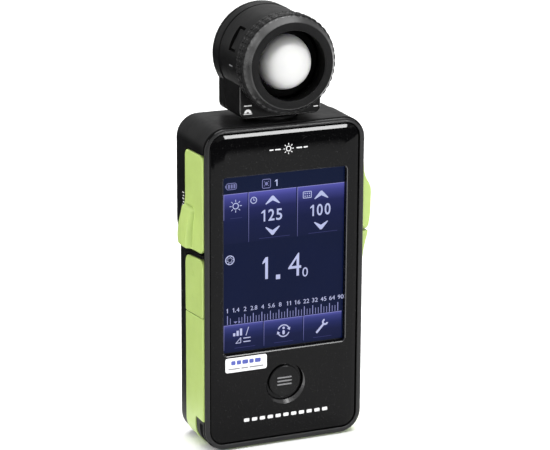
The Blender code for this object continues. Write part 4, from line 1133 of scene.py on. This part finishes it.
carve(back, block("c", -DOOR_X - 0.3, DOOR_X + 0.3, 6.0, 11.0, -2.0, DOOR_TOP + 0.3, bevel=0.25, seg=2))
carve(back, lathe("c", [(0, 10.0), (4.9, 10.0), (4.9, 12.2), (5.3, 12.6), (0, 12.6)], (0, 0, SOCKET_Z), n=64),
      lathe("c", [(0, 10.0), (3.5, 10.0), (3.5, 12.15), (3.85, 12.6), (0, 12.6)], (POWER_X, 0, POWER_Z), n=64))
# thumb recess above the battery door, and a shallow frame around the socket
carve(back, lathe("c", [(0, 8.75), (3.2, 8.85), (4.6, 9.3), (0, 9.3)], (0, 0, DOOR_TOP + 3.6), n=48))
carve(back, loft("c", [(rounded(-19.0, 19.0, 74.5, 86.0, 1.6, 8), 12.22), (rounded(-19.2, 19.2, 74.3, 86.2, 1.8, 8), 12.6)]),)
for sx, sz, nm in SCREWS:
    d = cad_depth(sz)
    carve(back, lathe("c", [(0, d - 3.0), (1.3, d - 3.0), (1.3, d - 1.0), (2.3, d - 1.0), (2.3, d - 0.15), (2.5, d + 0.05), (2.5, d + 1.0), (0, d + 1.0)], (sx, 0, sz), n=40))
# nail notch in the cover's left edge beside the connector flap
carve(back, block("c", -28.2, -26.9, 4.2, 7.2, 43.6, 46.2, bevel=0.4, seg=2))
piece(back, "casing", ["rear_cover"], smooth=26)


def cross_screw(name, x, y, z, r, node_name, body, shaft):
    """Pan head with a cross recess, facing +Y; y is the top of the head."""
    prof = [(0, shaft), (r * 0.52, shaft), (r * 0.52, y - 0.6)] + [(r - 0.02, y - 0.6), (r, y - 0.5), (r, y - 0.16), (r - 0.10, y - 0.05), (r - 0.25, y), (0, y + 0.02)]
    s = lathe(name, prof, (x, 0, z), n=40, mat=M_SCREW)
    bm = bmesh.new()
    for turn in (0, 90):
        rot = Matrix.Rotation(math.radians(turn), 3, "Y")
        w, l = 0.14 * r, 0.62 * r
        top = [Vector((sx * l, 0.3, sz * w)) for sx, sz in ((-1, -1), (1, -1), (1, 1), (-1, 1))]
        bot = [Vector((sx * l * 0.45, -0.42, sz * w * 0.7)) for sx, sz in ((-1, -1), (1, -1), (1, 1), (-1, 1))]
        skin(bm, [[rot @ q + Vector((x, y, z)) for q in bot], [rot @ q + Vector((x, y, z)) for q in top]])
    cutter = to_object("c", bm)
    m = s.modifiers.new("b", "BOOLEAN")
    m.object, m.solver, m.use_self = cutter, "EXACT", True
    bake(s)
    remove(cutter)
    return piece(s, body, [node_name])


for sx, sz, nm in SCREWS:
    cross_screw("casing_screw_head_" + nm, sx, cad_depth(sz) - 0.12, sz, 1.95, "casing_screw_" + nm, "casing", -3.2)

# ================================================================ battery door
prof = [(6.3, 0.0), (7.75, 0.0)]
for k in range(1, 8):
    a = math.radians(90.0 * k / 7)
    prof.append((7.75 + 1.45 * math.sin(a), 1.45 * (1 - math.cos(a))))
prof += [(9.2, 20.0), (9.2, DOOR_TOP - 0.15), (9.05, DOOR_TOP), (7.75, DOOR_TOP), (7.75, 1.6), (6.3, 1.6)]
bm = bmesh.new()
skin(bm, [[(x, y, z) for y, z in prof] for x in (-DOOR_X, DOOR_X)])
door = to_object("battery_door_panel", bm, M_REAR)
for k in range(4):
    carve(door, block("c", -5.5, 5.5, 8.8, 9.6, 46.0 + 2.0 * k, 46.9 + 2.0 * k, bevel=0.2, seg=2))
piece(door, "battery_door", ["battery_door"], smooth=28)
p = Print(9.215, 0.04, back=True)
p.poly([(-1.3, 43.9), (1.3, 43.9), (0, 42.2)])
p.frame(-3.4, 3.4, 33.2, 35.8, 0.3, 0.5)
p.rect(3.55, 3.95, 34.0, 35.0)
for k in range(3):
    p.rect(-2.6 + 1.75 * k, -1.35 + 1.75 * k, 33.8, 35.2)
p.make("battery_door_print", M_PRINT_GREY, "battery_door")

# ================================================================ tripod socket with a real thread
bm = bmesh.new()
NS, PITCH = 48, 1.27
rows = [(4.6, 5.6, 0), (4.6, 12.15, 0), (4.4, 12.35, 0), (3.75, 12.35, 0), (3.45, 12.05, 0)]
rows += [(3.2, 11.9 - 6.3 * k / 60, 1) for k in range(61)]
grid = []
for r, y, thread in rows:
    ring = []
    for i in range(NS):
        a = 2 * math.pi * i / NS
        rr = r
        if thread:
            t = ((y / PITCH) - i / NS) % 1.0
            fade = smoothstep((11.9 - y) / 0.8) * smoothstep((y - 5.6) / 0.5)
            rr = r + 0.42 * fade * (abs(2 * t - 1))
        ring.append((rr * math.cos(a), y, SOCKET_Z + rr * math.sin(a)))
    grid.append(ring)
skin(bm, grid, closed_u=True)
piece(to_object("tripod_socket_insert", bm, M_BRASS), "casing", ["tripod_socket"], smooth=35, weighted=False)

# ================================================================ power key
prof = [(0, 8.7), (1.5, 8.7), (1.5, 9.9), (4.3, 9.9), (4.3, 10.4), (3.1, 10.4), (3.1, 12.55)] + arc(2.75, 12.6, 0.35, 0, 90, 5) + [(1.8, 12.9), (0.9, 12.84), (0, 12.82)]
piece(lathe("power_key", prof, (POWER_X, 0, POWER_Z), n=64, mat=M_GREEN), "power_button", ["power_button"], smooth=40)
p = Print(12.965, 0.16, back=True)
p.band(POWER_X, POWER_Z, 1.0, 1.3, 120, 420, 26)
p.rect(POWER_X - 0.15, POWER_X + 0.15, POWER_Z + 0.5, POWER_Z + 1.55)
p.make("power_key_symbol", M_CHIP, "power_button")

# ================================================================ head
HC = (0, 0, HEAD_Z)


def block_profile(inset=0.0, z_top=HEAD_Z, n=10):
    h, z0, c = BLOCK_HALF - inset, BLOCK_Z0 + inset, 2.3
    pts = [(h, z_top), (-h, z_top)]
    for i in range(n + 1):
        a = math.radians(180 + 90.0 * i / n)
        pts.append((-h + c + c * math.cos(a), z0 + c + c * math.sin(a)))
    for i in range(n + 1):
        a = math.radians(270 + 90.0 * i / n)
        pts.append((h - c + c * math.cos(a), z0 + c + c * math.sin(a)))
    return pts


shell = lathe("head_barrel", [(0, -9.9), (15.05, -9.9), (15.3, -9.82), (15.4, -9.6), (15.4, HEAD_SEAM - 0.3), (15.25, HEAD_SEAM - 0.15), (0, HEAD_SEAM - 0.15)], HC, n=128, mat=M_HEAD)
carve(shell, loft("c", [(block_profile(0.42), -8.5), (block_profile(0.20), -8.45), (block_profile(0.06), -8.32), (block_profile(), -8.1),
                        (block_profile(), HEAD_SEAM - 0.27), (block_profile(0.12), HEAD_SEAM - 0.15)]), op="UNION")
carve(shell, lathe("c", [(0, 104.7), (4.3, 104.7), (4.3, 111.3), (0, 111.3)], (0, SWIVEL_Y, 0), "Z", n=52))
# The bore inside the barrel takes the flat black: painted shade in the bore.
carve(shell, lathe("c", [(0, -11.0), (13.6, -11.0), (13.6, 6.0), (0, 6.0)], HC, n=112, mat=M_BAFFLE_RECESS_SHADE))
carve(shell, loft("c", [(rounded(-11.8, 11.8, 108.6, 121.0, 0.8, 3), -6.9), (rounded(-11.8, 11.8, 108.6, 121.0, 0.8, 3), 6.3)]))

rear = lathe("head_back", [(0, HEAD_SEAM + 0.15), (15.3, HEAD_SEAM + 0.15), (15.5, HEAD_SEAM + 0.22), (15.6, HEAD_SEAM + 0.42), (15.6, 8.05), (15.42, 8.15), (15.42, 8.4), (15.6, 8.5)]
             + arc(14.7, 9.3, 0.9, 0, 90, 8) + [(11.6, 10.2), (11.45, 10.05), (11.3, 10.05), (11.15, 10.2), (0, 10.2)], HC, n=128, mat=M_HEAD)
carve(rear, loft("c", [(block_profile(0.12), HEAD_SEAM + 0.15), (block_profile(), HEAD_SEAM + 0.27), (block_profile(), 8.7), (block_profile(0.12), 9.15), (block_profile(0.4), 9.5), (block_profile(0.75), 9.7)]), op="UNION")
carve(rear, lathe("c", [(0, 3.0), (13.6, 3.0), (13.6, 8.6), (0, 8.6)], HC, n=96))
carve(rear, loft("c", [(rounded(-11.8, 11.8, 108.6, 121.0, 0.8, 3), 3.0), (rounded(-11.8, 11.8, 108.6, 121.0, 0.8, 3), 8.2)]),
      lathe("c", [(0, 105.0), (4.3, 105.0), (4.3, 110.0), (0, 110.0)], (0, SWIVEL_Y, 0), "Z", n=48))
for sx, nm in ((-9.6, "left"), (9.6, "right")):
    carve(rear, lathe("c", [(0, 7.5), (1.1, 7.5), (1.1, 9.0), (1.9, 9.0), (1.9, 9.6), (2.0, 9.75), (2.0, 11.0), (0, 11.0)], (sx, 0, 110.6), n=36))
piece(rear, "head", ["head_rear_shell"], smooth=28)

for side, nm in ((-1, "left"), (1, "right")):
    ang = math.radians(28.2)
    rot = Matrix.Rotation(-side * ang, 3, "Y")
    mid = Vector((side * math.cos(ang), 0, math.sin(ang)))
    for kind, r0, r1, wy, wz in (("cut", 14.05, 17.0, 4.9, 8.3), ("plug", 14.15, 14.78, 3.15, 6.55)):
        bm = bmesh.new()
        box_mesh(bm, 0, r1 - r0, 0, wy, 0, wz, bevel=0.18 if kind == "plug" else 0.25, seg=2)
        c = mid * ((r0 + r1) / 2) + Vector((0, -5.2, HEAD_Z))
        for v in bm.verts:
            v.co = rot @ (v.co - Vector(((r1 - r0) / 2, wy / 2, wz / 2))) + c
        # The walls of the finder slots take the flat black: painted shade around the plugs.
        if kind == "cut":
            carve(shell, to_object("c", bm, M_BAFFLE_RECESS_SHADE))
        else:
            piece(to_object("finder_slot_plug_" + nm, bm, M_HEAD), "head", ["guide_plug_" + nm], smooth=40)
shell.data.materials.append(M_EDGE)
edge_slot = len(shell.data.materials) - 1
for f in shell.data.polygons:
    cx, cy, cz = f.center / MM
    if -8.49 < cy < -8.11 and cz < 122.0 and math.hypot(cx, cz - HEAD_Z) > 13.7 and abs(f.normal.y) < 0.985:
        f.material_index = edge_slot
piece(shell, "head", ["head_front_shell"], smooth=28)

for sx, nm in ((-9.6, "left"), (9.6, "right")):
    cross_screw("head_screw_head_" + nm, sx, 9.66, 110.6, 1.6, "head_screw_" + nm, "head", 3.0)

# index mark on the barrel, and the symbols on the neck
bm = bmesh.new()
for side in (-1, 1):
    cols = []
    for i in range(5):
        a = math.radians(-3.1 - 1.5 * i / 4)
        cols.append([(side * r * math.cos(a), y, HEAD_Z + r * math.sin(a)) for r, y in ((15.36, -6.7), (15.44, -6.7), (15.44, -4.1), (15.36, -4.1))])
    skin(bm, cols)
piece(to_object("barrel_index_marks", bm, M_PRINT_GREY), "head", weighted=False, clean=False)
p = Print(-8.535, 0.08)
p.pill(-12.25, -9.6, 110.92, 111.28)
p.pill(11.2, 12.75, 108.95, 109.27)
for cx, up in ((-10.95, 1.0), (10.95, 0.55)):
    zb = 108.75 if cx < 0 else 107.6
    if cx > 0:
        continue
    n = 14
    p.band(cx, zb, 0.42, 1.22, 0, 180, 18)
    p.rect(cx - 1.4, cx + 1.4, zb - 0.40, zb - 0.14)
p.make("neck_symbols", M_PRINT, "head")

# ================================================================ swivel base
base = lathe("swivel_collar", [(4.6, 105.3), (8.8, 105.3), (8.8, 106.2)] + arc(8.45, 106.25, 0.35, 0, 90, 6) + [(7.4, 106.6), (7.3, 106.5), (7.1, 106.5), (7.0, 106.6), (4.6, 106.6)],
             (0, SWIVEL_Y, 0), "Z", n=96, closed=True, mat=M_HEAD)
piece(base, "casing", ["swivel_base"], smooth=35)

# ================================================================ retractor ring
TEETH = 42
NR = TEETH * 8


def lobe(a, duty=0.62, edge=0.14):
    t = (a * TEETH / (2 * math.pi)) % 1.0
    d = abs(t - 0.5)
    return 1.0 - smoothstep((d - duty / 2) / edge + 0.5)


def knurl(r, t, a):
    if r > 15.45 and -14.62 < t < -10.3:
        s = (t + 10.3) / -4.3
        k = (s * 2.0) % 1.0
        row = 1.0 - smoothstep((abs(k - 0.5) - 0.31) / 0.14 + 0.5)
        return 15.62 + 0.27 * lobe(a) * row, t
    if r > 15.3 and t <= -14.62:
        return r - 0.05 + 0.20 * lobe(a), t - 0.28 * lobe(a) + 0.08
    return r, t


band = [(15.6, -10.25)] + [(15.6, -10.32 - 4.2 * k / 24) for k in range(25)]
prof = band + [(15.42, -14.75), (15.15, -15.15), (14.6, -15.95), (14.2, -16.6), (13.75, -17.42), (13.62, -17.62), (13.42, -17.75), (13.2, -17.8),
               (11.42, -17.8), (11.2, -17.76), (11.05, -17.64), (11.0, -17.45), (11.0, -16.6), (11.06, -16.5), (11.06, -13.3), (11.3, -13.15),
               (12.2, -12.6), (12.2, -9.0), (13.25, -9.0), (13.25, -10.25)]
ring = lathe("dome_ring", prof, HC, n=NR, closed=True, mat=M_RING, shape=knurl)
ring.data.materials.append(M_RING_FACE_SHADE)
ring.data.materials.append(M_BAFFLE_RECESS_SHADE)
ring.data.materials.append(M_CONE)
# Painted shade: the bore round the dome takes the flat black, and the forward-facing front face the darker ring-face
# copy of the ring black.
for f in ring.data.polygons:
    cx, cy, cz = f.center / MM
    rr = math.hypot(cx, cz - HEAD_Z)
    if rr < 11.15 and cy > -17.3:
        f.material_index = 2
    elif cy < -17.70 and rr > 11.3:
        f.material_index = 1
    elif cy < -15.25 and rr > 13.2:
        f.material_index = 3
piece(ring, "retractor_ring", ["retractor_ring"], smooth=38, weighted=False)

# ================================================================ dome
prof = [(0, DOME_Y - DOME_R)]
for i in range(1, 33):
    a = math.radians(90.0 * i / 32)
    prof.append((DOME_R * math.sin(a), DOME_Y - DOME_R * math.cos(a)))
prof += [(10.45, -10.32), (10.55, -10.25), (10.55, -9.6), (7.4, -9.6)]
for i in range(16, 0, -1):
    a = math.radians(90.0 * i / 16)
    prof.append((7.4 * math.sin(a), DOME_Y - 7.4 * math.cos(a)))
prof.append((0, DOME_Y - 7.4))
piece(lathe("opal_dome", prof, HC, n=128, mat=M_DOME), "dome", ["lumisphere"], smooth=40, weighted=False)
piece(lathe("dome_seat_ring", [(8.75, -10.42), (8.75, -11.1), (8.95, -11.35), (10.5, -11.35), (10.7, -11.2), (10.7, -10.42)], HC, n=96, closed=True, mat=M_BAFFLE_RECESS_SHADE),
      "dome", smooth=40, weighted=False)

# ================================================================ inner pieces keep their shape and get their own finish
FINISH = {
    "dome_carrier": M_BAFFLE_RECESS_SHADE, "light_tunnel": M_BAFFLE_RECESS_SHADE, "sensor_filter": M_FILTER, "photodiode": M_CHIP, "sensor_board": M_BOARD,
    "main_board": M_BOARD, "processor": M_CHIP, "menu_switch": M_CHIP, "measuring_switch": M_CHIP, "memory_switch": M_CHIP, "power_switch": M_CHIP,
    "radio_module": M_STEEL, "sync_socket": M_STEEL, "usb_connector": M_STEEL, "swivel_shaft": M_STEEL, "swivel_retainer": M_STEEL,
    "battery_contact_bridge": M_STEEL, "battery_contact_plus": M_STEEL, "battery_spring_left": M_STEEL, "battery_spring_right": M_STEEL,
    "battery_tray": M_TRAY, "lcd_cell": M_GLASS, "lcd_backlight": M_PAPER,
}


def cell_finish(name, z0, z1):
    """Printed jacket: metal ends, a dark band and a light band."""
    m, nt, b = new_material(name)
    co = object_coords(nt)
    sep = nt.nodes.new("ShaderNodeSeparateXYZ")
    nt.links.new(co, sep.inputs[0])
    t = remap(nt, sep.outputs["Z"], 0.0, 1.0, z0 * MM, z1 * MM)
    cr = nt.nodes.new("ShaderNodeValToRGB")
    cr.color_ramp.interpolation = "CONSTANT"
    nt.links.new(t, cr.inputs["Fac"])
    e = cr.color_ramp.elements
    e[0].position, e[0].color = 0.0, (0.60, 0.60, 0.62, 1)
    e[1].position, e[1].color = 0.985, (0.60, 0.60, 0.62, 1)
    for pos, c in ((0.018, (0.02, 0.022, 0.03, 1)), (0.62, (0.70, 0.42, 0.10, 1)), (0.97, (0.60, 0.60, 0.62, 1))):
        k = e.new(pos)
        k.color = c
    nt.links.new(mix(nt, remap(nt, noise(nt, co, 300.0), 0.0, 0.12), cr.outputs["Color"], (0.3, 0.3, 0.3)), b.inputs["Base Color"])
    b.inputs["Metallic"].default_value = 0.55
    nt.links.new(remap(nt, noise(nt, co, 200.0, 4.0), 0.24, 0.36), b.inputs["Roughness"])
    return m


FINISH["battery_cell_left"] = cell_finish("cell_jacket_up", 8.6, 53.1)
FINISH["battery_cell_right"] = cell_finish("cell_jacket_down", 50.0, 5.5)
for name, mat in FINISH.items():
    me = NODES[name].data
    me.materials.clear()
    me.materials.append(mat)


# ================================================================ floor, light, camera
def stage_plane(name, x0, x1, y0, y1, z, mat):
    bm = bmesh.new()
    bm.faces.new([bm.verts.new((x, y, z)) for x, y in ((x0, y0), (x1, y0), (x1, y1), (x0, y1))])
    me = bpy.data.meshes.new(name)
    bm.to_mesh(me)
    bm.free()
    ob = bpy.data.objects.new(name, me)
    bpy.context.scene.collection.objects.link(ob)
    me.materials.append(mat)
    return ob


m, nt, b = new_material("floor_pale")
co = object_coords(nt)
nt.links.new(mix(nt, remap(nt, noise(nt, co, 3.0, 3.0), 0.0, 1.0), (0.870, 0.870, 0.868), (0.880, 0.880, 0.878)), b.inputs["Base Color"])
# Painted light: the floor glows, from nothing at 0.8 m out to a strength of 0.075 at 3 m from the centre, so the far
# floor rises to the sky's brightness.
away = nt.nodes.new("ShaderNodeVectorMath")
away.operation = "LENGTH"
nt.links.new(co, away.inputs[0])
b.inputs["Emission Color"].default_value = (1.0, 1.0, 1.0, 1.0)
nt.links.new(remap(nt, away.outputs["Value"], 0.0, 0.075, 0.8, 3.0), b.inputs["Emission Strength"])
b.inputs["Roughness"].default_value = 0.75
b.inputs["Specular IOR Level"].default_value = 0.1
stage_plane("floor", -6, 6, -6, 6, 0.0, m)

m, nt, b = new_material("flag_black")
b.inputs["Base Color"].default_value = (0.002, 0.002, 0.002, 1)
b.inputs["Specular IOR Level"].default_value = 0.0
b.inputs["Roughness"].default_value = 1.0
flag = stage_plane("flag", -3.0, 3.0, -4.0, -0.356, 0.002, m)
flag_back = stage_plane("flag_back_left", -2.5, -0.036, 0.022, 3.0, 0.002, m)
for card in (flag, flag_back):
    card.visible_camera = False
    card.visible_diffuse = False
    card.visible_shadow = False
    card.visible_transmission = False

world = bpy.data.worlds.new("studio")
bpy.context.scene.world = world
world.use_nodes = True
wn = world.node_tree
bg = wn.nodes["Background"]
bg.inputs["Color"].default_value = (1.0, 1.0, 1.0, 1.0)
bg.inputs["Strength"].default_value = 0.60


def area(name, at, aim, w, h, radiance, camera=False):
    d = bpy.data.lights.new(name, "AREA")
    d.shape = "RECTANGLE"
    d.size, d.size_y = w, h
    d.energy = radiance * math.pi * w * h
    ob = bpy.data.objects.new(name, d)
    bpy.context.scene.collection.objects.link(ob)
    ob.location = at
    ob.rotation_euler = (Vector(aim) - Vector(at)).to_track_quat("-Z", "Y").to_euler()
    ob.visible_camera = camera
    return ob


area("strip_front_right", (0.485, -1.120, 0.212), (0.0, 0.0, 0.104), 0.19, 0.145, 72.0)
area("overhead", (0.10, 0.15, 1.5), (0.0, 0.0, 0.0), 1.6, 1.4, 2.6)
area("left_bank", (-1.15, -0.22, 0.30), (0.0, 0.0, 0.10), 0.75, 0.52, 2.0)
area("wash_left", (-0.62, -0.16, 0.62), (-0.42, -0.10, 0.0), 0.40, 0.40, 4.5)
area("top_strip", (0.06, -0.42, 1.25), (0.0, 0.0, 0.05), 1.15, 0.24, 8.0)
area("rear_high", (0.30, 0.72, 1.05), (0.0, 0.0, 0.06), 0.55, 0.40, 9.0)

cam = bpy.data.cameras.new("camera")
cam.sensor_width = 36.0
cam.lens = 2313.305 / 550.0 * 36.0
cam.clip_start, cam.clip_end = 0.05, 20.0
co = bpy.data.objects.new("camera", cam)
bpy.context.scene.collection.objects.link(co)
yaw, pitch, roll = math.radians(-23.0576), math.radians(16.3080), math.radians(0.3030)
backv = Vector((math.sin(yaw) * math.cos(pitch), -math.cos(yaw) * math.cos(pitch), math.sin(pitch)))
fwd = -backv
right = fwd.cross(Vector((0, 0, 1))).normalized()
up = right.cross(fwd)
r2 = right * math.cos(roll) + up * math.sin(roll)
u2 = up * math.cos(roll) - right * math.sin(roll)
mat = Matrix((r2, u2, backv)).transposed().to_4x4()
mat.translation = Vector((-0.27519, -0.65115, 0.27618))
co.matrix_world = mat
bpy.context.scene.camera = co
bpy.context.scene.view_settings.view_transform = "Standard"
bpy.context.scene.view_settings.look = "None"
